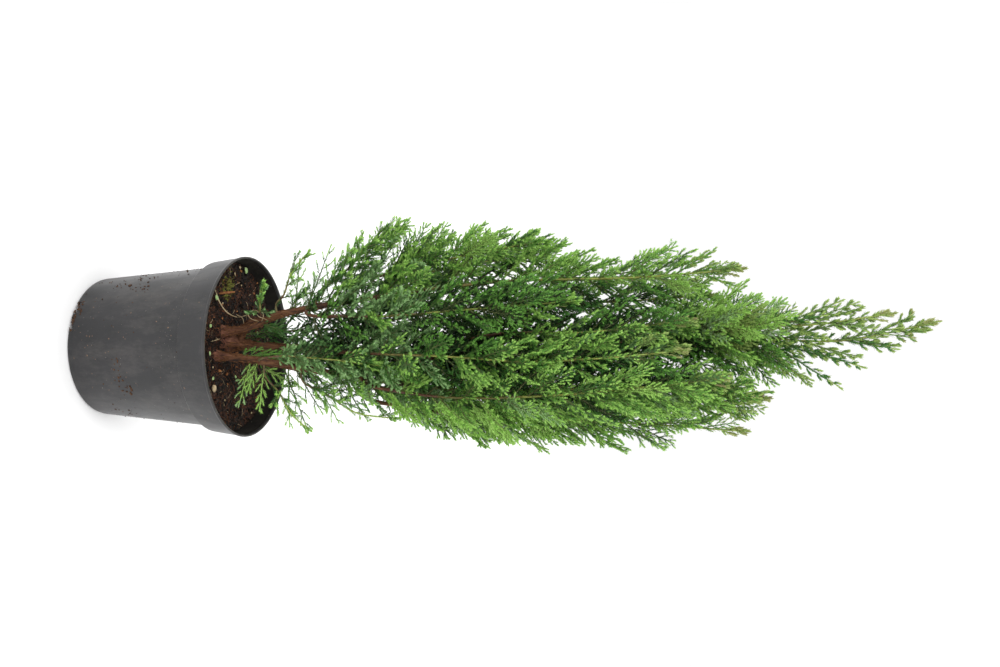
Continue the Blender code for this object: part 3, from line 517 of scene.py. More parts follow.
# The fibrous root collar: way, foot and tip radius, flare.
ROOT_LIMBS = (
    (((-0.0108, -0.0122, 0.0965), (-0.0116, -0.011, 0.106), (-0.015, -0.0108, 0.1215),
      (-0.0205, -0.0108, 0.134), (-0.0235, -0.012, 0.148)), 0.0024, 0.0021, 0.0046),
    (((-0.001, -0.011, 0.0965), (-0.0016, -0.0088, 0.106), (-0.0006, -0.006, 0.115)), 0.0018, 0.001, 0.002),
    (((0.006, -0.0212, 0.0965), (0.0068, -0.0202, 0.1), (0.0078, -0.019, 0.106)), 0.002, 0.0012, 0.0018),
)

# Litter on the compost: where the photograph shows it.
STALK = (
    (-0.04, -0.0262, 0.0995), (-0.0308, -0.0208, 0.1005), (-0.024, -0.011, 0.1015), (-0.0214, -0.004, 0.104),
    (-0.0225, -0.008, 0.1136), (-0.0262, -0.01, 0.1214), (-0.0238, -0.011, 0.126),
)
DRY_GRASS = (
    ((-0.0262, -0.012, 0.1265), (-0.0225, -0.014, 0.13), (-0.018, -0.0145, 0.129)),
    ((-0.0255, -0.0125, 0.1225), (-0.0215, -0.015, 0.127), (-0.019, -0.014, 0.133)),
    ((-0.0245, -0.013, 0.117), (-0.0205, -0.0145, 0.12), (-0.018, -0.013, 0.126)),
    ((-0.023, -0.0115, 0.108), (-0.02, -0.0135, 0.114), (-0.0165, -0.014, 0.115)),
    ((0.0005, -0.0085, 0.14), (0.0022, -0.01, 0.144), (0.0012, -0.009, 0.1485)),
    ((-0.004, -0.031, 0.099), (-0.005, -0.027, 0.1012), (-0.0058, -0.0235, 0.102)),
)
CHIP = ((-0.0378, -0.019, 0.0985), (-0.0384, -0.0188, 0.1045), (-0.0388, -0.0184, 0.1105))
MOSS_SPOT = (-0.043, -0.0065)
PALE_BITS = (
    ((0.0286, -0.0318, 0.102), 0.0028, 0.2), ((-0.058, 0.008, 0.101), 0.0013, 1.1),
    ((-0.053, 0.001, 0.1005), 0.0011, 0.4), ((-0.0309, -0.0162, 0.1), 0.0009, 2.0),
    ((-0.045, 0.012, 0.1), 0.0008, 0.9), ((0.05, 0.024, 0.102), 0.001, 1.9),
    ((0.038, -0.014, 0.1005), 0.0008, 0.3), ((0.014, -0.03, 0.1), 0.0008, 2.6),
    ((0.025, 0.038, 0.1005), 0.001, 1.3), ((-0.02, 0.044, 0.101), 0.0009, 0.2),
)
GREEN_BITS = (
    ((-0.056, 0.0135, 0.103), 0.0026, 0.5), ((-0.0345, -0.029, 0.1025), 0.0022, 0.6),
    ((-0.0148, -0.035, 0.101), 0.0017, 1.8), ((0.0042, -0.036, 0.101), 0.0015, 0.1),
    ((0.0217, -0.0315, 0.101), 0.0015, 2.2), ((0.0221, 0.0049, 0.099), 0.0014, 0.9),
    ((0.0433, 0.0036, 0.1), 0.0012, 1.4), ((0.0411, 0.0152, 0.1), 0.0012, 2.7),
    ((-0.01, 0.038, 0.1), 0.0014, 1.0), ((0.012, 0.048, 0.101), 0.0012, 2.1),
)

# Litter: radii along the stalk, the grass and the chip, and the moss tufts' sizes, flatness and lift.
STALK_RADII = (0.00045, 0.0004, 0.00035, 0.0003)
DRY_GRASS_RADII = (0.00025, 0.0003, 0.00012)
CHIP_RADII = (0.0007, 0.001, 0.0005)
STRIP_REFERENCE = (0.31, 0.17, 0.93)
MOSS_SPREAD = 0.0042
MOSS_TUFTS = 260
MOSS = ((0.0006, 0.0015), (0.5, 1.0), 0.3)

# Crumbs on the soil: piece, finish, how many, sizes, flatness, lift as a share of the size.
CRUMBS = (
    ("compost_crumbs", "compost", 2300, (0.0005, 0.0017), (0.3, 0.9), 0.1),
    # Near black crumbs: partly black peat, partly painted shade of the hollows in the compost.
    ("compost_dark", "compost_black", 1700, (0.0006, 0.0021), (0.3, 0.9), 0.05),
    ("compost_bits", "compost_fibre", 1300, (0.0004, 0.0013), (0.2, 0.8), 0.3),
    ("bark_chips", "bark_chip", 70, (0.0008, 0.002), (0.18, 0.6), 0.4),
)
STREWN_REACH = 0.985
CRUMB_SIZE_SPREAD = (0.5, 1.0)
CRUMB_EDGE = 0.0002
CRUMB_DENTS = (0.5, 1.3)

# Fibres on the soil: piece, finish, how many, lengths, radii, steepest slope.
FIBRES = (
    ("compost_fibres", "compost_fibre", 620, (0.003, 0.012), (0.0001, 0.00024), 0.25),
    ("compost_roots", "compost_black", 420, (0.004, 0.012), (0.00012, 0.00028), 0.8),
    ("compost_threads", "dry_grass", 70, (0.003, 0.008), (0.00008, 0.00016), 0.25),
)
FIBRE_RINGS = 4
FIBRE_SPOT_REACH = 0.93
FIBRE_BEND = 1.2
FIBRE_LIFT = 0.0004
FIBRE_EDGE = 0.001

# Specks on the pot: shares of their largest size.
SPECK_SIZES = (0.35, 1.0)
SPECK_DENTS = (0.6, 1.2)
SPECK_DEPTH = 0.35
SPECK_WIDTHS = (0.6, 1.5)
SPECK_HEIGHTS = (0.6, 1.3)
SPECK_LIFT = 0.0001

# Plumes, with the source's values.
Plume = namedtuple("Plume", "name limb height azimuth rise way bare radius reach density")
PLUMES = (
    Plume("right", "soil", SOIL_LEVEL, 0, 90,
          ((0.006, -0.021, 0.0978), (0.008, -0.019, 0.115), (0.014, -0.017, 0.157), (0.022, -0.016, 0.21),
           (0.029, -0.02, 0.3), (0.026, -0.02, 0.37), (0.031, -0.02, 0.474)),
          0.108, 0.0031, 0.044, 1.0),
    Plume("left", "trunk", 0.106, 200, 38,
          ((-0.0205, -0.01, 0.133), (-0.033, -0.015, 0.205), (-0.044, -0.015, 0.3),
           (-0.046, -0.015, 0.395), (-0.0505, -0.015, 0.459)),
          0.112, 0.0029, 0.042, 1.0),
    Plume("left_outer", "left", 0.19, 170, 30,
          ((-0.052, -0.01, 0.228), (-0.062, -0.011, 0.275), (-0.072, -0.01, 0.335)),
          0.024, 0.0015, 0.04, 1.0),
    Plume("right_outer", "right", 0.196, 20, 30,
          ((0.042, -0.006, 0.24), (0.047, -0.007, 0.32), (0.05, -0.008, 0.4), (0.053, -0.01, 0.461)),
          0.034, 0.0019, 0.042, 1.0),
    Plume("front", "trunk", 0.236, 278, 30,
          ((0.007, -0.026, 0.275), (0.008, -0.042, 0.335), (0.006, -0.048, 0.37), (0.0006, -0.045, 0.424)),
          0.03, 0.0016, 0.04, 1.0),
    Plume("front_middle", "trunk", 0.176, 272, 34,
          ((0.004, -0.038, 0.222), (0.005, -0.052, 0.27), (0.01, -0.056, 0.346)),
          0.04, 0.0015, 0.036, 1.0),
    Plume("front_left", "trunk", 0.262, 235, 35,
          ((-0.009, -0.025, 0.3), (-0.01, -0.034, 0.357), (-0.018, -0.036, 0.428)),
          0.026, 0.0015, 0.036, 1.0),
    Plume("front_left_low", "left", 0.16, 290, 30,
          ((-0.021, -0.032, 0.205), (-0.025, -0.047, 0.29), (-0.03, -0.047, 0.358)),
          0.032, 0.0015, 0.04, 1.0),
    Plume("front_right", "right", 0.205, 285, 35,
          ((0.031, -0.036, 0.255), (0.03, -0.048, 0.33), (0.024, -0.042, 0.395), (0.018, -0.036, 0.449)),
          0.03, 0.0016, 0.04, 1.0),
    Plume("low_front", "right", 0.128, 262, 40,
          ((0.006, -0.033, 0.15), (0.007, -0.04, 0.18), (0.012, -0.044, 0.232)),
          0.01, 0.0012, 0.026, 1.2),
    Plume("low_right", "right", 0.132, 345, 20,
          ((0.032, -0.022, 0.146), (0.046, -0.025, 0.156), (0.057, -0.025, 0.17)),
          0.008, 0.0012, 0.026, 1.6),
    Plume("mid_right", "right", 0.158, 350, 28,
          ((0.033, -0.018, 0.18), (0.044, -0.021, 0.2), (0.048, -0.022, 0.232)),
          0.01, 0.0012, 0.032, 1.2),
    Plume("low_left", "left", 0.136, 195, 16,
          ((-0.036, -0.018, 0.147), (-0.052, -0.022, 0.155), (-0.066, -0.022, 0.168)),
          0.01, 0.0012, 0.026, 1.4),
    Plume("mid_left", "left", 0.166, 180, 24,
          ((-0.05, -0.012, 0.188), (-0.07, -0.012, 0.206), (-0.084, -0.012, 0.234)),
          0.014, 0.0013, 0.034, 1.2),
    Plume("sprig", "left", 0.128, 210, -22,
          ((-0.026, -0.016, 0.1285), (-0.036, -0.021, 0.131), (-0.045, -0.025, 0.136)),
          0.0, 0.001, 0.02, 2.2),
    Plume("inner_left", "trunk", 0.114, 150, 55,
          ((-0.01, 0.007, 0.13), (-0.012, 0.012, 0.165), (-0.012, 0.016, 0.215)),
          0.006, 0.0012, 0.024, 1.0),
    Plume("inner_right", "trunk", 0.12, 30, 50,
          ((0.009, 0.007, 0.138), (0.014, 0.008, 0.17), (0.016, 0.008, 0.222)),
          0.006, 0.0012, 0.024, 1.0),
    Plume("back_left", "trunk", 0.16, 125, 35,
          ((-0.018, 0.026, 0.205), (-0.03, 0.034, 0.3), (-0.032, 0.032, 0.38), (-0.036, 0.026, 0.442)),
          0.052, 0.002, 0.042, 1.0),
    Plume("back_right", "trunk", 0.172, 50, 35,
          ((0.024, 0.026, 0.215), (0.034, 0.034, 0.3), (0.032, 0.032, 0.39), (0.028, 0.024, 0.455)),
          0.05, 0.002, 0.042, 1.0),
    Plume("back", "trunk", 0.205, 92, 35,
          ((0.003, 0.034, 0.245), (0.0, 0.05, 0.32), (-0.003, 0.046, 0.428)),
          0.036, 0.0016, 0.042, 1.0),
    Plume("back_outer_left", "back_left", 0.186, 165, 28,
          ((-0.044, 0.03, 0.214), (-0.06, 0.034, 0.27), (-0.06, 0.032, 0.345)),
          0.022, 0.0014, 0.04, 1.0),
    Plume("back_outer_right", "back_right", 0.196, 15, 28,
          ((0.046, 0.03, 0.222), (0.054, 0.032, 0.27), (0.054, 0.03, 0.362)),
          0.022, 0.0014, 0.04, 1.0),
    Plume("low_back", "trunk", 0.132, 80, 24,
          ((0.008, 0.026, 0.146), (0.01, 0.044, 0.162), (0.01, 0.056, 0.192)),
          0.012, 0.0012, 0.03, 1.2),
    Plume("second_top", "trunk", 0.398, 215, 45,
          ((-0.014, -0.009, 0.43), (-0.015, -0.009, 0.5), (-0.022, -0.01, 0.549)),
          0.0, 0.0012, 0.036, 1.2),
    Plume("top", "trunk tip", 0.41, 0, 90,
          ((-0.008, 0.0, 0.441), (-0.005, 0.0, 0.52), (-0.0167, 0.0, 0.5765)),
          0.0, 0.0014, 0.056, 1.3),
)

# Sprays on the trunk itself and the foot of the top leader, inside the crown.
CORE_WAY = TRUNK_WAY + ((-0.008, 0.0, 0.441), (-0.007, 0.0, 0.472))
CORE = Plume("core", "trunk", 0.195, 0, 90, CORE_WAY, 0.0, 0.0, 0.044, 1.7)

# A twig is a curved line with rows of needles along it; all needles are made from the list at once.
Twig = namedtuple("Twig", (
    "root direction lift side rise length radius bent pitch needle width angle tone tip_tone tip_from"))
UP = Vector((0.0, 0.0, 1.0))


# Materials.

def principled(name, colour, roughness, **sockets):
    """A Principled material; returns it with its node tree and shader."""
    made = bpy.data.materials.new(name)
    made.use_nodes = True
    tree = made.node_tree
    shader = tree.nodes["Principled BSDF"]
    shader.inputs["Base Color"].default_value = (*colour, 1.0)
    shader.inputs["Roughness"].default_value = roughness
    for socket, value in sockets.items():
        shader.inputs[socket.replace("_", " ")].default_value = value
    return made, tree, shader


def noise_node(tree, scale, detail=4.0, stretch=(1.0, 1.0, 1.0), roughness=0.55):
    """A noise texture in the object's own coordinates."""
    where = tree.nodes.new("ShaderNodeTexCoord")
    mapping = tree.nodes.new("ShaderNodeMapping")
    mapping.inputs["Scale"].default_value = stretch
    made = tree.nodes.new("ShaderNodeTexNoise")
    made.inputs["Scale"].default_value = scale
    made.inputs["Detail"].default_value = detail
    made.inputs["Roughness"].default_value = roughness
    tree.links.new(where.outputs["Object"], mapping.inputs["Vector"])
    tree.links.new(mapping.outputs["Vector"], made.inputs["Vector"])
    return made.outputs["Fac"]


def ramp(tree, value, *stops):
    """A colour ramp through (place, colour) stops."""
    made = tree.nodes.new("ShaderNodeValToRGB")
    elements = made.color_ramp.elements
    while len(elements) < len(stops):
        elements.new(0.5)
    for element, (place, colour) in zip(elements, stops):
        element.position = place
        element.color = (*colour, 1.0)
    tree.links.new(value, made.inputs["Fac"])
    return made.outputs["Color"]


def blended(tree, share, one, other):
    """One colour over another by a 0 to 1 share."""
    made = tree.nodes.new("ShaderNodeMix")
    made.data_type = "RGBA"
    tree.links.new(share, made.inputs["Factor"])
    for colour, socket in ((one, made.inputs[6]), (other, made.inputs[7])):
        if isinstance(colour, tuple):
            socket.default_value = (*colour, 1.0)
        else:
            tree.links.new(colour, socket)
    return made.outputs[2]


def add_bump(tree, shader, height, distance, strength=1.0):
    """A bump of this depth under a shader."""
    made = tree.nodes.new("ShaderNodeBump")
    made.inputs["Distance"].default_value = distance
    made.inputs["Strength"].default_value = strength
    tree.links.new(height, made.inputs["Height"])
    tree.links.new(made.outputs["Normal"], shader.inputs["Normal"])


def pot_material():
    """Dark grey moulded plastic, dusty, with a few soil specks and pale scuffs."""
    made, tree, shader = principled("pot_plastic", (0.017, 0.017, 0.018), 0.42)
    clean = ramp(tree, noise_node(tree, 30.0), (0.35, (0.007, 0.007, 0.008)), (0.7, (0.016, 0.015, 0.017)))
    dust = ramp(tree, noise_node(tree, 45.0, 12.0, (1, 1, 0.45), 0.78),
                (0.48, (0.0, 0.0, 0.0)), (0.8, (0.16, 0.16, 0.16)))
    dusty = blended(tree, dust, clean, (0.3, 0.27, 0.24))
    specks = ramp(tree, noise_node(tree, 420.0, 2.0), (0.7, (0.0, 0.0, 0.0)), (0.76, (0.8, 0.8, 0.8)))
    marked = blended(tree, specks, dusty, (0.22, 0.12, 0.06))
    tree.links.new(marked, shader.inputs["Base Color"])
    rough = ramp(tree, noise_node(tree, 70.0, 6.0, (1, 1, 0.35)), (0.3, (0.33,) * 3), (0.75, (0.5,) * 3))
    tree.links.new(rough, shader.inputs["Roughness"])
    add_bump(tree, shader, noise_node(tree, 900.0, 3.0), 0.00006, 0.5)
    return made


def bark_material():
    """Reddish-brown bark in thin strips along the limb."""
    made, tree, shader = principled("bark", (0.11, 0.045, 0.024), 0.85)
    strips = noise_node(tree, 420.0, 6.0, (1.0, 1.0, 0.12), 0.65)
    colour = ramp(tree, strips, (0.34, (0.02, 0.009, 0.005)), (0.47, (0.082, 0.031, 0.013)),
                  (0.6, (0.16, 0.068, 0.028)), (0.78, (0.35, 0.215, 0.1)))
    collar = ramp(tree, strips, (0.34, (0.052, 0.018, 0.011)), (0.5, (0.175, 0.062, 0.036)),
                  (0.62, (0.3, 0.135, 0.08)), (0.8, (0.5, 0.33, 0.21)))
    where = tree.nodes.new("ShaderNodeTexCoord")
    parts = tree.nodes.new("ShaderNodeSeparateXYZ")
    low = tree.nodes.new("ShaderNodeMapRange")
    low.inputs["From Min"].default_value = COLLAR_TOP
    low.inputs["From Max"].default_value = SOIL_LEVEL
    tree.links.new(where.outputs["Object"], parts.inputs["Vector"])
    tree.links.new(parts.outputs["Z"], low.inputs["Value"])
    tree.links.new(blended(tree, low.outputs["Result"], colour, collar), shader.inputs["Base Color"])
    add_bump(tree, shader, strips, 0.0009, 1.0)
    return made


def compost_material():
    """Dark peat in patches: black, partly painted shade of pits, and a rusty brown where it is fibrous."""
    made, tree, shader = principled("compost", (0.012, 0.008, 0.005), 0.7, Specular_IOR_Level=0.2)
    grain = noise_node(tree, 380.0, 6.0)
    # The black is partly black peat, partly painted shade of the pits in the compost.
    black = ramp(tree, grain, (0.36, (0.002, 0.002, 0.001)), (0.7, (0.026, 0.015, 0.01)))
    brown = ramp(tree, grain, (0.34, (0.009, 0.004, 0.003)), (0.56, (0.048, 0.02, 0.012)),
                 (0.76, (0.12, 0.055, 0.032)))
    patches = ramp(tree, noise_node(tree, 75.0, 5.0), (0.44, (0.0, 0.0, 0.0)), (0.6, (1.0, 1.0, 1.0)))
    tree.links.new(blended(tree, patches, black, brown), shader.inputs["Base Color"])
    add_bump(tree, shader, grain, 0.0006, 1.0)
    return made


def stem_material(name):
    """A young stem: two near colours in streaks along it."""
    low, high, scale = STEMS[name]
    made, tree, shader = principled(name, low, 0.6)
    streaks = noise_node(tree, scale, 4.0, (1.0, 1.0, 0.15))
    tree.links.new(ramp(tree, streaks, (0.35, low), (0.68, high)), shader.inputs["Base Color"])
    add_bump(tree, shader, streaks, 0.0002, 0.5)
    return made


def grain_material(name, low, high, scale, roughness):
    """A crumbly or fibrous bit of litter, mottled between two colours."""
    made, tree, shader = principled(name, low, roughness, Specular_IOR_Level=0.2)
    grain = noise_node(tree, scale, 5.0)
    tree.links.new(ramp(tree, grain, (0.32, low), (0.7, high)), shader.inputs["Base Color"])
    add_bump(tree, shader, grain, 0.0004, 0.8)
    return made


# Mesh helpers.

def linked(name, data):
    """A new object in the scene."""
    obj = bpy.data.objects.new(name, data)
    bpy.context.scene.collection.objects.link(obj)
    return obj


def mesh_from(bm, name):
    """Turns an edit mesh into a mesh."""
    mesh = bpy.data.meshes.new(name)
    bm.to_mesh(mesh)
    bm.free()
    return mesh


def mesh_piece(name, points, faces, finish, smooth=True):
    """One object from arrays: points (n, 3) and triangles (m, 3)."""
    mesh = bpy.data.meshes.new(name)
    mesh.vertices.add(len(points))
    mesh.vertices.foreach_set("co", np.ascontiguousarray(points, np.float32).ravel())
    mesh.loops.add(faces.size)
    mesh.loops.foreach_set("vertex_index", np.ascontiguousarray(faces, np.int32).ravel())
    mesh.polygons.add(len(faces))
    mesh.polygons.foreach_set("loop_start", np.arange(0, faces.size, faces.shape[1], dtype=np.int32))
    mesh.materials.append(finish)
    mesh.update(calc_edges=True)
    if smooth:
        mesh.shade_smooth()
    return own(linked(name, mesh))


def own(obj):
    """Puts a piece on the one body, on which it rides."""
    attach(obj, "root")
    return obj


def unit(vectors):
    """The same directions at length 1."""
    return vectors / np.maximum(np.linalg.norm(vectors, axis=-1, keepdims=True), 1e-12)


def towards(angle, one, other):
    """A direction turned by an angle from one to the other."""
    return math.cos(angle) * one + math.sin(angle) * other


def circle(sides):
    """Angles of points all round."""
    return 2 * math.pi * np.arange(sides) / sides


def tube_faces(rings, sides):
    """Triangles of a tube of rings, each ring's points in a row, with a closing fan at both ends."""
    low = np.arange(rings - 1)[:, None] * sides + np.arange(sides)[None]
    after = np.arange(rings - 1)[:, None] * sides + (np.arange(sides)[None] + 1) % sides
    walls = np.concatenate([
        np.stack([low, after, after + sides], -1).reshape(-1, 3),
        np.stack([low, after + sides, low + sides], -1).reshape(-1, 3),
    ])
    fan = np.arange(1, sides - 1)
    foot = np.stack([np.zeros_like(fan), fan + 1, fan], -1)
    top = np.stack([np.zeros_like(fan), fan, fan + 1], -1) + (rings - 1) * sides
    return np.concatenate([walls, foot, top])


def tube(centres, headings, across, radii):
    """Points and triangles of a tube, from its radius at each ring and side."""
    around = np.cross(headings, across)
    angles = circle(radii.shape[1])
    offsets = np.cos(angles)[None, :, None] * across[:, None]
    offsets = offsets + np.sin(angles)[None, :, None] * around[:, None]
    points = centres[:, None] + radii[:, :, None] * offsets
    return points.reshape(-1, 3), tube_faces(*radii.shape)


class Batch:
    """Points and triangles gathered from many small shapes into one piece."""

    def __init__(self):
        self.points = []
        self.faces = []
        self.count = 0

    def add(self, points, faces):
        self.points.append(points.reshape(-1, 3))
        self.faces.append(faces + self.count)
        self.count += len(self.points[-1])

    def piece(self, name, finish, smooth=True):
        return mesh_piece(name, np.concatenate(self.points), np.concatenate(self.faces), finish, smooth)


# Routes and limbs, by the source's rule.

class Route:
    """A smooth curve through way points, measured along its length."""

    STEPS = 24

    def __init__(self, points):
        way = [Vector(point) for point in points]
        way = [2 * way[0] - way[1]] + way + [2 * way[-1] - way[-2]]
        self.points = [way[1]]
        for before, start, end, after in zip(way, way[1:], way[2:], way[3:]):
            for step in range(1, self.STEPS + 1):
                self.points.append(self.blend(before, start, end, after, step / self.STEPS))
        self.reached = [0.0]
        for one, other in zip(self.points, self.points[1:]):
            self.reached.append(self.reached[-1] + (other - one).length)
        self.length = self.reached[-1]
        self.table = np.array([tuple(point) for point in self.points])

    @staticmethod
    def blend(before, start, end, after, share):
        behind = (start - before).length
        span = (end - start).length
        ahead = (after - end).length
        chord = (end - start) / span
        slope_in = span * (chord + (start - before) / behind - (end - before) / (behind + span))
        slope_out = span * (chord + (after - end) / ahead - (after - start) / (span + ahead))
        square = share * share
        cube = square * share
        return (
            (2 * cube - 3 * square + 1) * start
            + (cube - 2 * square + share) * slope_in
            + (3 * square - 2 * cube) * end
            + (cube - square) * slope_out
        )

    def places(self, along):
        """Points at many distances at once; before the start it runs straight back."""
        along = np.asarray(along, float)
        found = np.stack([np.interp(along, self.reached, self.table[:, axis]) for axis in range(3)], -1)
        behind = np.minimum(along, 0.0)[..., None]
        return found + behind * unit(self.table[1] - self.table[0])

    def headings(self, along):
        along = np.clip(np.asarray(along, float), 0.0, self.length)
        behind = np.clip(along - HEADING_STEP, 0.0, self.length)
        ahead = np.clip(along + HEADING_STEP, 0.0, self.length)
        return unit(self.places(ahead) - self.places(behind))

    def at(self, along):
        return Vector(self.places(min(max(along, 0.0), self.length)))

    def heading(self, along):
        return Vector(self.headings(along))

    def at_height(self, height):
        for reached, point in zip(self.reached, self.points):
            if point.z >= height:
                return reached
        return self.length


class Limb:
    """A tapering round limb: its route, its bare length and its radius at each place."""

    def __init__(self, name, route, foot_radius, tip_radius, flare=0.0, flare_height=1.0):
        self.name = name
        self.route = route
        self.foot_radius = foot_radius
        self.tip_radius = tip_radius
        self.flare = flare
        self.flare_height = flare_height
        self.lobe = 0.0
        self.bare = route.length

    def radius(self, along):
        taper = self.foot_radius + (self.tip_radius - self.foot_radius) * along / self.route.length
        return taper + self.flare * np.exp(-np.maximum(along, 0.0) / self.flare_height)

    def clearance(self, point):
        """How far a point lies outside the limb's surface, and -1 inside it."""
        near = nearest_along(self.route, point)
        out = (point - self.route.at(near)).length
        if out < self.radius(near):
            return -1.0
        places = np.array(self.route.reached + [near])
        return float(np.hypot(near - places, out - self.radius(places)).min())


def nearest_along(route, point):
    """How far along a route its nearest place to a point is."""
    found = []
    for start, end, reached in zip(route.points, route.points[1:], route.reached):
        span = end - start
        share = max(0.0, min(1.0, (point - start).dot(span) / span.length_squared))
        found.append(((start + share * span - point).length, reached + share * span.length))
    return min(found)[1]


def side_of(heading):
    level = Vector((0.0, 1.0, 0.0)) if abs(heading.y) < 0.9 else Vector((1.0, 0.0, 0.0))
    return heading.cross(level).normalized()


def leaving_point(parent, height, direction, radius):
    """Where a limb of this radius starts beside its parent, square ended and a gap clear of it."""
    along = parent.route.at_height(height)
    centre = parent.route.at(along)
    across = side_of(direction)
    around = direction.cross(across)
    out = float(parent.radius(along))
    while True:
        start = centre + direction * out
        clear = True
        for corner in range(SEAT_TESTS):
            angle = 2 * math.pi * corner / SEAT_TESTS
            edge = start + radius * towards(angle, across, around)
            if parent.clearance(edge) < GAP:
                clear = False
                break
        if clear:
            return start
        out += SEAT_STEP


def leaving_direction(parent, plume):
    azimuth = math.radians(plume.azimuth)
    rise = math.radians(plume.rise)
    level = Vector((math.cos(azimuth), math.sin(azimuth), 0.0))
    wanted = towards(rise, level, UP)
    along = parent.route.heading(parent.route.at_height(plume.height))
    return (wanted - LEAVING_SQUARENESS * wanted.dot(along) * along).normalized()


def build_limbs():
    """The trunk, then each plume's stem in order; a stem is named for its plume."""
    trunk = Limb("trunk", Route(TRUNK_WAY), TRUNK_RADIUS, TRUNK_TIP_RADIUS, TRUNK_FLARE, TRUNK_FLARE_HEIGHT)
    trunk.lobe = ROOT_LOBE_DEPTH
    limbs = {"trunk": trunk}
    for plume in PLUMES:
        flare = (0.0, 1.0)
        if plume.limb == "soil":
            route = Route(plume.way)
            flare = (STEM_FOOT_FLARE, STEM_FOOT_FLARE_HEIGHT)
        elif plume.limb == "trunk tip":
            tip = trunk.route.length
            start = trunk.route.at(tip) + trunk.route.heading(tip) * GAP
            route = Route((start,) + plume.way)
        else:
            parent = limbs[plume.limb]
            direction = leaving_direction(parent, plume)
            start = leaving_point(parent, plume.height, direction, plume.radius)
            route = Route((start, start + direction * STRAIGHT_START * plume.radius) + plume.way)
        limbs[plume.name] = Limb(plume.name, route, plume.radius, TWIG_TIP_RADIUS, *flare)
        limbs[plume.name].bare = plume.bare
    return limbs


def bark_bumps(along, angles, seed):
    """Ridges and finer strands of bark, as a share of the limb's radius."""
    turns, per_metre, depth = BARK_RIDGES
    fine_turns, fine_per_metre, fine_depth = BARK_STRANDS
    bumps = np.empty((len(along), len(angles)))
    for i, place in enumerate(along):
        for j, angle in enumerate(angles):
            u = math.cos(angle)
            v = math.sin(angle)
            ridge = noise.noise(Vector((turns * u + seed, turns * v, place * per_metre)))
            strand = noise.noise(Vector((fine_turns * u, fine_turns * v + seed, place * fine_per_metre)))
            bumps[i, j] = depth * ridge + fine_depth * strand - BARK_HOLLOW
    return bumps


def limb_skin(limb, start, end, skin, index=0):
    """A limb's surface with lengthwise ridges, flakes and root lobes."""
    rings = max(3, round((end - start) / skin.step) + 1)
    along = np.linspace(start, end, rings)
    headings = limb.route.headings(along)
    if limb.flare > 0:
        upright = np.clip(1.0 - along / FOOT_UPRIGHT, 0.0, 1.0)[:, None]
        headings = unit(headings * (1 - upright) + np.array(UP) * upright)
    across = np.empty_like(headings)
    side = np.array(side_of(Vector(headings[0])))
    for ring, heading in enumerate(headings):
        side = side - heading * heading.dot(side)
        side /= np.linalg.norm(side)
        across[ring] = side
    angles = circle(skin.sides)
    slim = 1.0 - SLIMMING * np.clip((along - limb.bare) / SLIMMING_SPAN, 0.0, 1.0)
    radii = (slim * limb.radius(along))[:, None] * np.ones(skin.sides)[None]
    hollow = 0.5 * limb.lobe * np.exp(-np.maximum(along, 0.0) / limb.flare_height)
    radii *= 1 - hollow[:, None] * (1 - np.cos(ROOT_LOBES * angles))[None]
    radii *= BARK_CORE * (1 + skin.relief * bark_bumps(along, angles, skin.seed + index))
    return tube(limb.route.places(along), headings, across, radii)


# Sprays and twigs.

def spray_at(limb, reach, along, turn, rng):
    """Root, direction, side and length of a spray, as the source's rule gives them."""
    route = limb.route
    remaining = route.length - along
    heading = route.heading(along)
    across = side_of(heading)
    out = towards(turn, across, heading.cross(across))
    centre = route.at(along)
    away = Vector((centre.x, centre.y, 0.0)) / CROWN_MIDDLE
    favour = 1.0 - SPRAY_INWARD_LOSS * (1.0 - max(-1.0, min(1.0, out.dot(away))))
    fade = 1.0 - math.exp(-(remaining + SPRAY_FADE_START) / SPRAY_FADE)
    length = min(reach * favour * fade * rng.uniform(*SPRAY_LENGTH_SPREAD), remaining)
    low = min(1.0, SPRAY_ANGLE_GROWTH * remaining / (route.length - limb.bare))
    angle = SPRAY_ANGLE_TIP + (SPRAY_ANGLE_LOW - SPRAY_ANGLE_TIP) * low
    angle *= rng.uniform(*SPRAY_ANGLE_SPREAD)
    direction = towards(angle, heading, out).normalized()
    twist = Matrix.Rotation(rng.uniform(-SPRAY_TWIST, SPRAY_TWIST), 3, direction)
    return centre, direction, twist @ direction.cross(out).normalized(), length


def spray_places(root, direction, length, shares):
    """Places along a spray's rib, at shares of its length."""
    lift = UP - direction * direction.z
    return [root + length * (share * direction + SPRAY_RISE * share * share * lift) for share in shares]


def clear_of_pot(points):
    """True if no point is in or too near the pot or the soil."""
    for point in points:
        spread = math.hypot(point.x, point.y)
        if spread > RIM_RADIUS + CLEAR_OF_RIM or point.z > POT_HEIGHT + CLEAR_OF_POT:
            continue
        if spread > RIM_RADIUS - CLEAR_OF_RIM or point.z < SOIL_LEVEL + CLEAR_OF_SOIL:
            return False
    return True


def between(table, height):
    """A side of the crown at this height."""
    heights, sides = zip(*table)
    return float(np.interp(height, heights, sides))


def inside_crown(tip, slack):
    if abs(tip.y) > CROWN_DEPTH + slack:
        return False
    return between(CROWN_LEFT, tip.z) - slack < tip.x < between(CROWN_RIGHT, tip.z) + slack


def within(places, point):
    """True if a point is inside one of the ovals, seen from the front."""
    return any(math.hypot((point.x - x) / wide, (point.z - height) / tall) < 1.0
               for x, height, wide, tall in places)


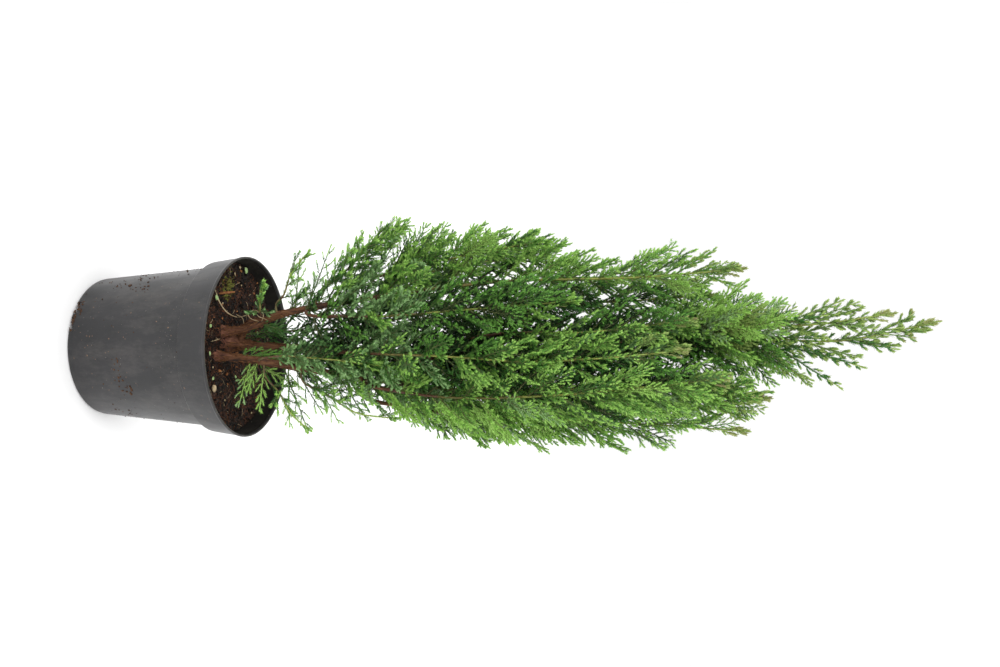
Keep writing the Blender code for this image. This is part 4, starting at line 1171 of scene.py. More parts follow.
def kinds_of_place(plume, root, tip, high, remaining, rng):
    """Yields the kinds of place that a spray is in, until one deals it its tones."""
    middle = 0.5 * (root + tip)
    out = math.hypot(middle.x, middle.y)
    if plume.name in BRUSH_SPACING:
        yield "brush"
    if "top" in plume.name:
        if high > BELOW_TOP_FROM:
            yield "top" if high > TOP_FROM else "below top"
        yield "top stem" if out < TOP_STEM_RADIUS else "top side"
    if plume.way[-1][2] > OLIVE_TIP_HEIGHT and remaining < TIP_ZONE:
        yield "tip"
    if plume.name in LOW_FRONT_PLUMES and high < LOW_FRONT_TO and middle.y < LOW_FRONT_Y:
        yield "low front"
    if high < LOW_TO:
        yield "low"
    # Painted shade inside the crown, partly the darker green of older needles: sprays near the middle, or
    # facing into it.
    inner = min(INNER_MOST, INNER_FOOT * (INNER_TOP - middle.z) / INNER_SPAN) * rng.uniform(*INNER_SPREAD)
    if out < inner:
        yield "inner"
    inward = root.x * (tip.x - root.x) + root.y * (tip.y - root.y) < 0.0
    if inward and middle.z < INWARD_TO and abs(middle.x) < INWARD_HALF_WIDTH:
        yield "inward"
    if plume.name in LIGHT_PLUMES and high > LIGHT_FROM:
        yield "light"
    yield "other"


def tones_for(plume, root, tip, remaining, rng):
    """Tones of a spray and its tip by where it is, with painted shade and painted light on the front."""
    middle = 0.5 * (root + tip)
    high = middle.z + rng.gauss(0.0, HEIGHT_SPREAD)
    chance = rng.random()
    kinds = kinds_of_place(plume, root, tip, high, remaining, rng)
    usual = next(tones for kind in kinds for limit, *tones in DEALS[kind] if chance < limit)
    # Painted shade between the plumes and painted light where plumes stand out, on the crown's front.
    change = {}
    if middle.y <= FRONT_SIDE:
        change = PAINTED_SHADE_TONES if within(SHADED, middle) else PAINTED_LIGHT_TONES if within(LIT, middle) else {}
    return [change.get(tone, tone) for tone in usual]


def grow_spray(twigs, root, direction, side, length, lifting, tones, rng, style):
    """A flat spray: its rib, side twigs to both sides and short shoots on the longer ones."""
    lift = UP - direction * UP.dot(direction) if lifting else Vector()
    twigs.append(Twig(
        root, direction, lift, side, SPRAY_RISE, length, RIB_RADIUS + RIB_THICKENING * length, 1,
        style.rib_pitch, style.rib_needle, style.rib_width, style.angle - RIB_NEEDLE_CLOSING,
        *tones, RIB_TIP_FROM))
    share = TWIG_FIRST + rng.uniform(0.0, TWIG_FIRST_SPREAD)
    hand = rng.choice((-1, 1))
    while share < TWIG_LAST:
        place = root + length * (share * direction + SPRAY_RISE * share * share * lift)
        axis = (direction + 2 * SPRAY_RISE * share * lift).normalized()
        plane = (side - axis * side.dot(axis)).normalized()
        aside = Matrix.Rotation(rng.uniform(-TWIG_TILT, TWIG_TILT), 3, axis) @ plane
        angle = rng.uniform(*TWIG_ANGLES) - TWIG_ANGLE_LOSS * share
        heading = (math.cos(angle) * axis + hand * math.sin(angle) * aside).normalized()
        full = min(style.share * length, style.longest) * (1.0 - share) ** TWIG_FADE
        full *= min(1.0, TWIG_LOW_SHARE + TWIG_LOW_GROWTH * share)
        reach = full * rng.uniform(*TWIG_LENGTHS) + TWIG_LEAST
        reach = min(reach, TWIG_MOST * length * (1 - share) + TWIG_MOST_END)
        grow_side_twig(twigs, place, heading, axis, aside, reach, tones, rng, style)
        share += rng.uniform(*style.steps) / length
        hand = -hand


def grow_side_twig(twigs, place, heading, axis, aside, reach, tones, rng, style):
    """A side twig that bends towards the spray's tip, with short shoots if it is long."""
    bend = axis - heading * axis.dot(heading)
    flat = heading.cross(axis.cross(aside)).normalized()
    twigs.append(Twig(
        place, heading, bend, flat, TWIG_RISE, reach, TWIG_RADIUS, 0,
        style.pitch, style.needle, style.width, style.angle, *tones, rng.uniform(*TWIG_TIPS_FROM)))
    if reach < style.branching:
        return
    hand = rng.choice((-1, 1))
    share = rng.uniform(*SHOOT_FIRST)
    while share < SHOOT_LAST:
        there = place + reach * (share * heading + TWIG_RISE * share * share * bend)
        angle = rng.uniform(*SHOOT_ANGLES)
        out = (math.cos(angle) * heading + hand * math.sin(angle) * flat).normalized()
        length = min(SHOOT_LONGEST, SHOOT_SHARE * reach) * rng.uniform(*SHOOT_LENGTHS)
        length *= SHOOT_FADE[0] - SHOOT_FADE[1] * share
        twigs.append(Twig(
            there, out, heading, heading.cross(out).cross(out), SHOOT_RISE, length, SHOOT_RADIUS, 0,
            style.pitch, SHOOT_NEEDLE * style.needle, SHOOT_NEEDLE_WIDTH * style.width,
            SHOOT_NEEDLE_ANGLE, *tones, SHOOT_TIP_FROM))
        share += rng.uniform(*SHOOT_STEPS) / reach
        hand = -hand


def is_bare(plume, root, direction):
    """True where a stem stays bare on this side, or where a spray of a low bough would hang."""
    front = root.z < BARE_FRONT_HEIGHTS.get(plume.name, 0.0) and direction.y < BARE_FRONT_LEAN
    side = root.z < BARE_SIDE_HEIGHTS.get(plume.name, 0.0) and direction.x > BARE_SIDE_LEAN
    return front or side or (plume.name in BRUSH_SPACING and direction.z < BRUSH_RISE)


def fitted(root, direction, length, slack):
    """The longest reach that stays in the crown and off the pot, and its tip; or 0."""
    for shrink in SHRINKS:
        reach = length * shrink
        if reach < 0.5 * SPRAY_MINIMUM:
            break
        path = spray_places(root, direction, reach, PATH_SHARES)
        if clear_of_pot(path) and inside_crown(path[-1], slack):
            return reach, path[-1]
    return 0.0, None


def grow_sprays(twigs, limb, plume, rng):
    """All sprays of one plume, from low on its stem to the tip."""
    spacing = FINE_SPACING / math.sqrt(plume.density) * BRUSH_SPACING.get(plume.name, 1.0)
    along = LOW_START * limb.bare if limb.bare > LONG_BARE else limb.bare + FINE_FIRST
    turn = rng.uniform(0, 2 * math.pi)
    tip = min(TIP_SPRAY, TIP_SPRAY_SHARE * (limb.route.length - limb.bare))
    zone = SHOOT_ZONES.get(plume.name, SHOOT_ZONE)
    sparse = TOP_SHOOT_SPACING if plume.name in SHOOT_ZONES else SHOOT_SPACING
    low, high = STEM_SHOWS.get(plume.name, (0.0, 0.0))
    while along < limb.route.length - LAST_SPRAY * tip:
        root, direction, side, length = spray_at(limb, plume.reach, along, turn, rng)
        remaining = limb.route.length - along
        shoot = remaining < zone
        if shoot:
            direction = (direction + SHOOT_STEEPNESS * limb.route.heading(along)).normalized()
        length = min(length, (TOP_TAPER if "top" in plume.name else TAPER) * remaining + TAPER_END)
        if along < limb.bare:
            length *= LOW_REACH + (FULL_REACH - LOW_REACH) * along / limb.bare
        forward = direction.y < STEM_SHOWS_FORWARD and abs(direction.x) < STEM_SHOWS_ASIDE
        if low < root.z < high and forward:
            length *= STEM_SHOWS_REACH
        slack = rng.uniform(*CROWN_SLACK)
        reach, end = fitted(root, direction, length, slack)
        if reach and not is_bare(plume, root, direction):
            tones = tones_for(plume, root, end, remaining, rng)
            style = STYLES.get(plume.name, SHOOT if shoot else FLAT)
            grow_spray(twigs, root, direction, side, reach, True, tones, rng, style)
        along += spacing * rng.uniform(*SPRAY_STEP_SPREAD) * (sparse if shoot else 1.0)
        turn += GOLDEN_ANGLE + rng.uniform(-SPRAY_TURN_SPREAD, SPRAY_TURN_SPREAD)


def seated(root, limbs):
    """The nearest place on the middle of a limb."""
    places = [limb.route.at(nearest_along(limb.route, root)) for limb in limbs.values()]
    return min(places, key=lambda place: (place - root).length)


def grow_fronds(twigs, fronds, style, limbs, rng):
    """Sprays from a table of places, each grown on from the nearest limb."""
    for root, tip, side, *tones in fronds:
        root = seated(Vector(root), limbs)
        way = Vector(tip) - root
        side = Vector(side)
        direction = way.normalized()
        side = (side - direction * side.dot(direction)).normalized()
        grow_spray(twigs, root, direction, side, way.length, False, tones, rng, style)


def grow_leader(twigs, limb, plume, rng):
    """Awl needles along the leafy stem, and the bunch of young shoots at its tip."""
    route = limb.route
    thin = plume.name in STYLES
    leader = THIN_LEADER if thin else LEADER
    first = FINE_FIRST if thin else limb.bare
    leafy = route.length - first
    green = plume.way[-1][2] < OLIVE_TIP_HEIGHT
    pieces = max(2, round(leafy / LEADER_PIECE))
    for index in range(pieces):
        start = first + leafy * index / pieces
        root = route.at(start)
        ahead = route.at(start + leafy / pieces) - root
        direction = ahead.normalized()
        share = (index + 0.5) / pieces
        tone = "mid" if share < LEADER_MID_TO else "fresh" if green or share < LEADER_TIP_FROM else "pale"
        pitch = leader.high_pitch if share > LEADER_TIP_FROM else leader.low_pitch
        twigs.append(Twig(
            root, direction, Vector(), side_of(direction), 0.0, ahead.length, 0.0, 0,
            pitch, leader.needle, leader.width, leader.angle, tone, tone, NO_TIP))
    end = route.at(route.length)
    heading = route.heading(route.length)
    side = side_of(heading)
    for index in range(leader.shoots):
        turn = GOLDEN_ANGLE * index + rng.uniform(-TIP_SHOOT_TURN, TIP_SHOOT_TURN)
        out = towards(turn, side, heading.cross(side))
        direction = (heading + TIP_SHOOT_LEANS[min(index, 1)] * out).normalized()
        back = TIP_SHOOT_BACK + TIP_SHOOT_PITCH * index
        tip_tone = "fresh" if green else "brown" if rng.random() < TIP_SHOOT_BROWN else "olive"
        length = back * rng.uniform(*TIP_SHOOT_LENGTHS) + TIP_SHOOT_LEAST
        twigs.append(Twig(
            end - back * heading, direction, heading, direction.cross(out).normalized(),
            TIP_SHOOT_RISE, length, TIP_SHOOT_RADIUS, 0, *TIP_SHOOT_NEEDLES,
            "bright" if green else "pale", tip_tone, TIP_SHOOT_TIP_FROM))


def twig_rows(twigs):
    """One array for each field of the twigs, with tones as numbers."""
    columns = dict(zip(Twig._fields, zip(*twigs)))
    for field in ("tone", "tip_tone"):
        columns[field] = [TONES.index(tone) for tone in columns[field]]
    return {field: np.array(values) for field, values in columns.items()}


def twig_frames(rows, share):
    """Places at a share of each twig's length, its axis there and two directions across it."""
    direction = rows["direction"]
    lift = rows["lift"]
    side = rows["side"]
    rise = rows["rise"][:, None]
    centre = rows["root"] + rows["length"][:, None] * (share * direction + rise * share ** 2 * lift)
    axis = unit(direction + 2 * rise * share * lift)
    one = unit(side - axis * (side * axis).sum(1, keepdims=True))
    return centre, axis, one, np.cross(axis, one)


def twig_spikes(rows, bent):
    """Thin three-sided twigs of one kind: bent once on the way, or short and straight."""
    keep = (rows["radius"] > 0) & (rows["bent"] == bent)
    rows = {field: values[keep] for field, values in rows.items()}
    stations = TWIG_STATIONS if bent else TWIG_STATIONS[:1]
    levels = []
    for share, thickness in stations:
        centre, axis, one, other = twig_frames(rows, share)
        reach = (thickness * rows["radius"])[:, None]
        for angle in circle(3):
            levels.append(centre + reach * towards(angle, one, other))
    end = rows["direction"] + rows["rise"][:, None] * rows["lift"]
    levels.append(rows["root"] + TWIG_MESH_END * rows["length"][:, None] * end)
    points = np.stack(levels, 1)
    last = 3 * len(stations)
    pattern = []
    for corner in range(3):
        after = (corner + 1) % 3
        if bent:
            pattern += [(corner, after, after + 3), (corner, after + 3, corner + 3)]
        pattern.append((last - 3 + corner, last - 3 + after, last))
    faces = np.arange(len(points))[:, None, None] * (last + 1) + np.array(pattern)[None]
    return points.reshape(-1, 3), faces.reshape(-1, 3)


def needle_arrays(rows, rng):
    """Needles of all twigs: two triangles each, folded along the midrib, with a tone for each."""
    counts = np.maximum(2, np.round(rows["length"] / rows["pitch"]).astype(int))
    twig = np.repeat(np.arange(len(counts)), counts)
    first = np.concatenate([[0], np.cumsum(counts)[:-1]])
    step = np.arange(len(twig)) - first[twig]
    share = 1.0 - (1.0 - (step + FIRST_NEEDLE) / counts[twig]) ** TIP_CROWDING
    rows = {field: values[twig] for field, values in rows.items()}
    centre, axis, one, other = twig_frames(rows, share[:, None])
    facing = step % 2 == 1
    club = share > CLUB_FROM
    points = []
    tones = []
    for hand in (0, 1):
        turn = np.where(facing, 0.5 * math.pi, 0.0) + math.pi * hand
        turn = turn + rng.normal(0.0, NEEDLE_TURN_SPREAD, len(twig))
        out = np.cos(turn)[:, None] * one + np.sin(turn)[:, None] * other
        angle = rows["angle"] * np.where(facing, FACING_ANGLE, 1.0) * (1.0 - NEEDLE_CLOSING * share)
        angle = angle * rng.uniform(*NEEDLE_ANGLE_SPREAD, len(twig))
        along = unit(np.cos(angle)[:, None] * axis + np.sin(angle)[:, None] * out)
        across = unit(np.cross(along, out))
        size = rows["needle"] * rng.uniform(*NEEDLE_LENGTH_SPREAD, len(twig))
        size = size * np.where(club, CLUB_LENGTH, 1.0)
        size = np.minimum(size, NEEDLE_LEAST + NEEDLE_TWIG_SHARE * rows["length"])[:, None]
        half = 0.5 * (rows["width"] * np.where(club, CLUB_WIDTH, 1.0))[:, None]
        keel = NEEDLE_KEEL * size * out
        bow = centre + NEEDLE_WIDEST * size * along - keel * KEEL_SHARE
        tip = centre + size * along + NEEDLE_SWEEP * size * axis
        points.append(np.stack([centre, bow + half * across, tip, bow - half * across], 1))
        tones.append(np.where(share > rows["tip_from"], rows["tip_tone"], rows["tone"]))
    return np.concatenate(points), np.concatenate(tones)


def needle_pieces(needles, tones):
    """Joins the needles of each tone into pieces under the size limit."""
    made = []
    for index, tone in enumerate(TONES):
        finish = principled(f"needle_{tone}", NEEDLE_COLOURS[tone], 0.55, Specular_IOR_Level=0.25)[0]
        chosen = needles[tones == index]
        parts = math.ceil(len(chosen) / MOST_NEEDLES)
        for part in range(parts):
            group = chosen[part::parts]
            faces = np.array([(0, 1, 2), (0, 2, 3)])[None] + 4 * np.arange(len(group))[:, None, None]
            name = f"needles_{tone}_{part + 1}" if parts > 1 else f"needles_{tone}"
            points = group.reshape(-1, 3)
            made.append(mesh_piece(name, points, faces.reshape(-1, 3), finish, smooth=False))
    return made


# Pot and soil.

def rounded(profile, radius):
    """A profile with its marked corners rounded: (radius, height, share of the given radius)."""
    made = [profile[0][:2]]
    for before, corner, after in zip(profile, profile[1:], profile[2:]):
        point = np.array(corner[:2])
        if corner[2] == 0:
            made.append(tuple(point))
            continue
        ends = []
        for neighbour in (before, after):
            way = np.array(neighbour[:2]) - point
            length = np.linalg.norm(way)
            ends.append(point + way / length * min(radius * corner[2], ROUNDING_SHARE * length))
        for step in range(ROUNDING_STEPS + 1):
            share = step / ROUNDING_STEPS
            made.append(tuple(
                (1 - share) ** 2 * ends[0] + 2 * share * (1 - share) * point + share ** 2 * ends[1]))
    made.append(profile[-1][:2])
    return made


def turned(profile, sides, height_at=None):
    """Points and triangles of a solid of revolution from (radius, height) points off the axis."""
    profile = np.array(profile)
    angles = circle(sides)
    x = profile[:, 0][:, None] * np.cos(angles)[None]
    y = profile[:, 0][:, None] * np.sin(angles)[None]
    z = np.repeat(profile[:, 1][:, None], sides, 1)
    if height_at:
        z = height_at(x, y, z)
    points = np.stack([x, y, z], -1).reshape(-1, 3)
    return points, tube_faces(len(profile), sides)[:, ::-1]


def wall_radius(height):
    """The pot's outside radius below its collar."""
    return FOOT_RADIUS + (SHOULDER_RADIUS - FOOT_RADIUS) * height / SHOULDER_HEIGHT


def slot_cutter():
    """The boxes that cut the drainage slots, as one object."""
    bm = bmesh.new()
    for azimuth in SLOT_PAIR_AZIMUTHS:
        for side in (-1, 1):
            angle = math.radians(azimuth + side * SLOT_HALF_SPACING)
            made = bmesh.ops.create_cube(bm, size=1.0)["verts"]
            bmesh.ops.scale(bm, verts=made, vec=(SLOT_DEPTH, SLOT_WIDTH, 2 * (SLOT_HEIGHT + GAP)))
            bmesh.ops.translate(bm, verts=made, vec=(FOOT_RADIUS, 0.0, -GAP))
            bmesh.ops.rotate(bm, verts=made, cent=(0, 0, 0), matrix=Matrix.Rotation(angle, 3, "Z"))
    return linked("slot_cutter", mesh_from(bm, "slot_cutter"))


def make_pot(finish, inside, lip):
    """The thin moulded pot, finer than its solid: rounded lip, collar step and drainage slots."""
    collar_foot = SHOULDER_HEIGHT + COLLAR_SLOPE
    collar_radius = SHOULDER_RADIUS + COLLAR_STEP
    outline = [
        (POT_AXIS_HOLE, 0.0, 0), (POT_FOOT_RING, 0.0, 0), (FOOT_RADIUS - POT_FOOT_BEVEL, 0.0, 1.6),
        (wall_radius(POT_FOOT_BEVEL_HEIGHT), POT_FOOT_BEVEL_HEIGHT, 1.0),
        (SHOULDER_RADIUS, SHOULDER_HEIGHT, 0.35), (collar_radius, collar_foot, 0.5),
        (RIM_RADIUS - 0.0005, POT_HEIGHT - 1.1 * LIP, 0.4), (RIM_RADIUS, POT_HEIGHT - 0.75 * LIP, 0.5),
        (RIM_RADIUS - 0.0001, POT_HEIGHT, 1.0), (RIM_RADIUS - 0.8 * LIP, POT_HEIGHT, 1.0),
        (RIM_RADIUS - LIP, POT_HEIGHT - 1.1 * LIP, 0.6),
        (collar_radius - WALL, collar_foot + WALL, 0.5),
        (SHOULDER_RADIUS - WALL, SHOULDER_HEIGHT + 0.5 * WALL, 0.4),
        (wall_radius(FLOOR) - WALL, FLOOR, 0.8), (POT_AXIS_HOLE, FLOOR, 0),
    ]
    points, faces = turned(rounded(outline, POT_ROUNDING), POT_SIDES)
    pot = mesh_piece("pot_shell", points, faces, finish)
    cutter = slot_cutter()
    cut = pot.modifiers.new("slots", "BOOLEAN")
    cut.operation = "DIFFERENCE"
    cut.object = cutter
    graph = bpy.context.evaluated_depsgraph_get()
    mesh = bpy.data.meshes.new_from_object(pot.evaluated_get(graph))
    pot.modifiers.clear()
    pot.data = mesh
    bpy.data.objects.remove(cutter, do_unlink=True)
    mesh.shade_smooth()
    mesh.set_sharp_from_angle(angle=SHARP_ANGLE)
    mesh.materials.append(inside)
    mesh.materials.append(lip)
    for face in mesh.polygons:
        outward = face.normal.x * face.center.x + face.normal.y * face.center.y
        # Faces inside the pot take the dark brown-black finish: soil stain, and painted shade in the pot's
        # hollow.
        if 0.5 * FLOOR < face.center.z < POT_HEIGHT - 1.2 * LIP and outward < 0.0:
            face.material_index = 1
        # Upward faces on the lip take the lighter finish: a painted highlight along the rim.
        elif face.center.z > POT_HEIGHT - 0.25 * LIP and face.normal.z > 0.3:
            face.material_index = 2
    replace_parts(pot, "pot")


def soil_top(x, y):
    """Height of the soil's surface at a place: the solid's form with finer lumps on it."""
    radius = np.hypot(x, y)
    outer = np.clip(radius - SOIL_LEVEL_RADIUS, 0.0, None) / (RIM_RADIUS - SOIL_LEVEL_RADIUS)
    lump = np.empty_like(radius)
    grain = np.empty_like(radius)
    for index in np.ndindex(radius.shape):
        spot = Vector((x[index], y[index], 0.0))
        lump[index] = noise.noise(spot * SOIL_LUMPS_PER_METRE)
        grain[index] = noise.fractal(spot * SOIL_GRAINS_PER_METRE, *SOIL_GRAIN_DETAIL)
    return SOIL_LEVEL + outer * (SOIL_EDGE_RISE + lump * SOIL_LUMP) + SOIL_GRAIN * grain


def make_soil(finish):
    """The body of compost: the solid's form below, and a lumpy surface."""
    slack = 2 * GAP
    collar_height = SHOULDER_HEIGHT + COLLAR_SLOPE + WALL + slack
    below = [
        (SOIL_AXIS_HOLE, FLOOR + GAP), (wall_radius(FLOOR) - WALL - slack, FLOOR + GAP),
        (SHOULDER_RADIUS - WALL - slack, SHOULDER_HEIGHT + 0.5 * WALL + slack),
        (SHOULDER_RADIUS + COLLAR_STEP - WALL - slack, collar_height),
    ]
    top = [(SOIL_TOP_RADIUS * (1 - ring / SOIL_RINGS), SOIL_LEVEL) for ring in range(SOIL_RINGS)]
    top.append((SOIL_TOP_HOLE, SOIL_LEVEL))

    def height_at(x, y, z):
        made = z.copy()
        made[len(below):] = soil_top(x[len(below):], y[len(below):])
        return made

    points, faces = turned(below + top, SOIL_SIDES, height_at)
    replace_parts(mesh_piece("soil_body", points, faces, finish), "soil")


def icosahedron(subdivisions=1):
    bm = bmesh.new()
    bmesh.ops.create_icosphere(bm, subdivisions=subdivisions, radius=1.0)
    points = np.array([tuple(vert.co) for vert in bm.verts])
    faces = np.array([[vert.index for vert in face.verts] for face in bm.faces])
    bm.free()
    return points, faces


def random_turns(rng, count):
    """Random rotation matrices."""
    spin = unit(rng.normal(size=(count, 4)))
    w, x, y, z = spin.T
    return np.stack([
        np.stack([1 - 2 * (y * y + z * z), 2 * (x * y - z * w), 2 * (x * z + y * w)], -1),
        np.stack([2 * (x * y + z * w), 1 - 2 * (x * x + z * z), 2 * (y * z - x * w)], -1),
        np.stack([2 * (x * z - y * w), 2 * (y * z + x * w), 1 - 2 * (x * x + y * y)], -1),
    ], 1)


def strewn(rng, count):
    """Random places on the soil."""
    radius = SOIL_TOP_RADIUS * STREWN_REACH * np.sqrt(rng.uniform(0, 1, count))
    angle = rng.uniform(0, 2 * math.pi, count)
    return np.stack([radius * np.cos(angle), radius * np.sin(angle)], -1)


def make_crumbs(name, finish, rng, spots, sizes, flatness, lift):
    """Rough crumbs on the soil, lifted by a share of their size."""
    shape, faces = icosahedron()
    count = len(spots)
    size = rng.uniform(*sizes, count) * rng.uniform(*CRUMB_SIZE_SPREAD, count)
    limit = SOIL_TOP_RADIUS - size - CRUMB_EDGE
    spread = np.hypot(spots[:, 0], spots[:, 1])
    spots = spots * np.minimum(1.0, limit / np.maximum(spread, 1e-6))[:, None]
    scale = size[:, None] * np.stack([
        np.ones(count), rng.uniform(*flatness, count), rng.uniform(*flatness, count)], -1)
    dents = rng.uniform(*CRUMB_DENTS, (count, len(shape), 1))
    local = shape[None] * dents * scale[:, None]
    local = np.einsum("nij,nkj->nki", random_turns(rng, count), local)
    height = soil_top(spots[:, 0], spots[:, 1]) + lift * size
    points = local + np.concatenate([spots, height[:, None]], 1)[:, None]
    faces = faces[None] + len(shape) * np.arange(count)[:, None, None]
    mesh_piece(name, points.reshape(-1, 3), faces.reshape(-1, 3), finish, smooth=False)


def make_fibres(name, finish, rng, count, lengths, radii, slope):
    """Thin bent strands lying on the soil."""
    batch = Batch()
    faces = tube_faces(FIBRE_RINGS, 3)
    bends = FIBRE_RINGS - 1
    for _ in range(count):
        radius = SOIL_TOP_RADIUS * FIBRE_SPOT_REACH * math.sqrt(rng.uniform())
        turn = rng.uniform(0, 2 * math.pi)
        x, y = radius * math.cos(turn), radius * math.sin(turn)
        span = rng.uniform(*lengths)
        turn = rng.uniform(0, 2 * math.pi)
        bend = rng.uniform(-FIBRE_BEND, FIBRE_BEND)
        tilt = rng.uniform(-slope, slope)
        thick = rng.uniform(*radii)
        place = np.array([x, y, float(soil_top(np.array([x]), np.array([y]))[0]) + FIBRE_LIFT])
        rings = []
        for _ in range(FIBRE_RINGS):
            heading = np.array([math.cos(turn), math.sin(turn), tilt])
            side = np.array([-math.sin(turn), math.cos(turn), 0.0])
            for angle in circle(3):
                rings.append(place + thick * towards(angle, side, np.array(UP)))
            place = place + heading * span / bends
            outside = math.hypot(place[0], place[1]) / (SOIL_TOP_RADIUS - FIBRE_EDGE)
            if outside > 1:
                place[:2] /= outside
            turn += bend / bends
            tilt -= slope / bends
        batch.add(np.array(rings), faces)
    batch.piece(name, finish)


def bent_strip(points, widths, sides=5):
    """A tube through points with a width at each: a stalk, a chip or a root."""
    route = Route(points)
    along = np.linspace(0.0, route.length, 4 * len(points))
    headings = route.headings(along)
    across = unit(np.cross(headings, np.array(STRIP_REFERENCE)))
    radii = np.interp(along, np.linspace(0.0, route.length, len(widths)), widths)
    return tube(route.places(along), headings, across, radii[:, None] * np.ones(sides)[None])


def pebble(place, size, turn, flat):
    """A small rounded bit lying at a place."""
    shape, faces = icosahedron(2)
    dents = [1.0 + 0.35 * noise.noise(Vector(corner) * 1.3 + Vector(place) * 900.0) for corner in shape]
    points = shape * np.array(dents)[:, None] * np.array([1.0, 0.75, flat]) * size
    spin = np.array([
        [math.cos(turn), -math.sin(turn), 0.0], [math.sin(turn), math.cos(turn), 0.0], [0.0, 0.0, 1.0]])
    return points @ spin.T + np.array(place), faces


def make_strands(collar, finish):
    """Loose fibres of bark along the feet of the stems."""
    rng = np.random.default_rng(SEED + 4)
    batch = Batch()
    for limb in collar:
        longest = min(limb.route.length, LOOSE_REACH)
        for _ in range(round(longest / LOOSE_PITCH)):
            along = longest * rng.uniform() ** LOOSE_CROWDING
            angle = rng.uniform(0, 2 * math.pi)
            span = rng.uniform(*LOOSE_LENGTHS)
            thick = rng.uniform(*LOOSE_RADII)
            points = []
            for step in range(3):
                place = along + 0.5 * span * step
                heading = limb.route.heading(place)
                across = side_of(heading)
                out = towards(angle, across, heading.cross(across))
                lift = thick * rng.uniform(*LOOSE_LIFTS)
                lift += LOOSE_END_LIFT * rng.uniform() if step == 2 else 0.0
                points.append(limb.route.at(place) + out * (float(limb.radius(place)) * BARK_CORE + lift))
                angle += rng.normal(0.0, LOOSE_TURN)
            if min(point.z for point in points) > SOIL_LEVEL - 0.001:
                batch.add(*bent_strip(points, (0.6 * thick, thick, 0.4 * thick), 3))
    batch.piece("bark_strands", finish)


def make_litter(finishes):
    """What lies on the compost: a dry stalk, a bark chip, moss, leaf bits and grass."""
    dry = Batch()
    dry.add(*bent_strip(STALK, STALK_RADII))
    for strand in DRY_GRASS:
        dry.add(*bent_strip(strand, DRY_GRASS_RADII, 4))
    for place, size, turn in PALE_BITS:
        dry.add(*pebble(place, size, turn, 0.4))
    dry.piece("dry_grass", finishes["dry_grass"])
    wood = Batch()
    wood.add(*bent_strip(CHIP, CHIP_RADII, 4))
    wood.piece("wood_chip", finishes["bark_chip"], smooth=False)
    green = Batch()
    for place, size, turn in GREEN_BITS:
        green.add(*pebble(place, size, turn, 0.3))
    green.piece("leaf_bits", finishes["leaf_bit"])
    rng = np.random.default_rng(SEED + 1)
    spots = np.array(MOSS_SPOT) + rng.normal(0.0, MOSS_SPREAD, (MOSS_TUFTS, 2))
    make_crumbs("moss", finishes["moss"], rng, spots, *MOSS)


def make_specks(name, table, finish, seed):
    """Crumbs of soil or dust dried on to the pot's wall."""
    rng = np.random.default_rng(seed)
    shape, faces = icosahedron()
    batch = Batch()
    for azimuth, spread, low, high, count, size in table:
        for _ in range(count):
            angle = math.radians(rng.normal(azimuth, spread) if spread else rng.uniform(0, 360))
            height = rng.uniform(low, high)
            radius = wall_radius(height) if height < SHOULDER_HEIGHT else SHOULDER_RADIUS + COLLAR_STEP
            out = np.array([math.cos(angle), math.sin(angle), 0.0])
            level = np.array([-math.sin(angle), math.cos(angle), 0.0])
            grain = size * rng.uniform(*SPECK_SIZES)
            local = shape * rng.uniform(*SPECK_DENTS, (len(shape), 1)) * grain
            points = (local[:, :1] * SPECK_DEPTH * out + local[:, 1:2] * level * rng.uniform(*SPECK_WIDTHS)
                      + local[:, 2:3] * np.array(UP) * rng.uniform(*SPECK_HEIGHTS))
            batch.add(points + out * (radius + SPECK_LIFT) + np.array([0.0, 0.0, height]), faces)
    batch.piece(name, finish, smooth=False)


# Build.

def make_bark(limbs, finishes):
    """Trunk, boughs and root collar with the bark's relief, and the strands on their feet."""
    bark = Batch()
    young = Batch()
    trunk = limbs["trunk"]
    bark.add(*limb_skin(trunk, -FOOT_DEPTH, trunk.route.length, TRUNK_SKIN))
    for index, plume in enumerate(PLUMES):
        limb = limbs[plume.name]
        if limb.bare > 0:
            start = -FOOT_DEPTH if plume.limb == "soil" else -plume.radius - BOUGH_OVERLAP
            skin = STOUT_SKIN if plume.radius > STOUT_RADIUS else SLIM_SKIN
            batch = bark
            if plume.name in THIN_BOUGHS:
                limb.foot_radius *= THINNING
                batch = young
            batch.add(*limb_skin(limb, start, limb.bare + BOUGH_END, skin, index))
    collar = [trunk, limbs["left"], limbs["right"]]
    for index, (way, radius, tip_radius, flare) in enumerate(ROOT_LIMBS):
        limb = Limb("root", Route(way), radius, tip_radius, flare, TRUNK_FLARE_HEIGHT)
        bark.add(*limb_skin(limb, 0.0, limb.route.length, ROOT_SKIN, index))
        collar.append(limb)
    bark_piece = bark.piece("bark", bark_material())
    make_strands(collar, finishes["bark_strands"])
    young_piece = young.piece("young_boughs", stem_material("young_bough"))
    boughs = [plume.name for plume in PLUMES if plume.bare > 0]
    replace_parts(bark_piece, "trunk", *(f"bough_{name}" for name in boughs if name not in THIN_BOUGHS))
    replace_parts(young_piece, *(f"bough_{name}" for name in boughs if name in THIN_BOUGHS))


def make_stems(limbs):
    """Stems inside the foliage: brown below, then olive, then yellow-green at the top."""
    for name, finish, low, high in STEM_PARTS:
        batch = Batch()
        for index, plume in enumerate(PLUMES):
            limb = limbs[plume.name]
            leafy = limb.route.length - limb.bare
            start = limb.bare + leafy * low - STEM_OVERLAP
            batch.add(*limb_skin(limb, start, limb.bare + leafy * high, STEM_SKIN, index))
        batch.piece(name, stem_material(finish))


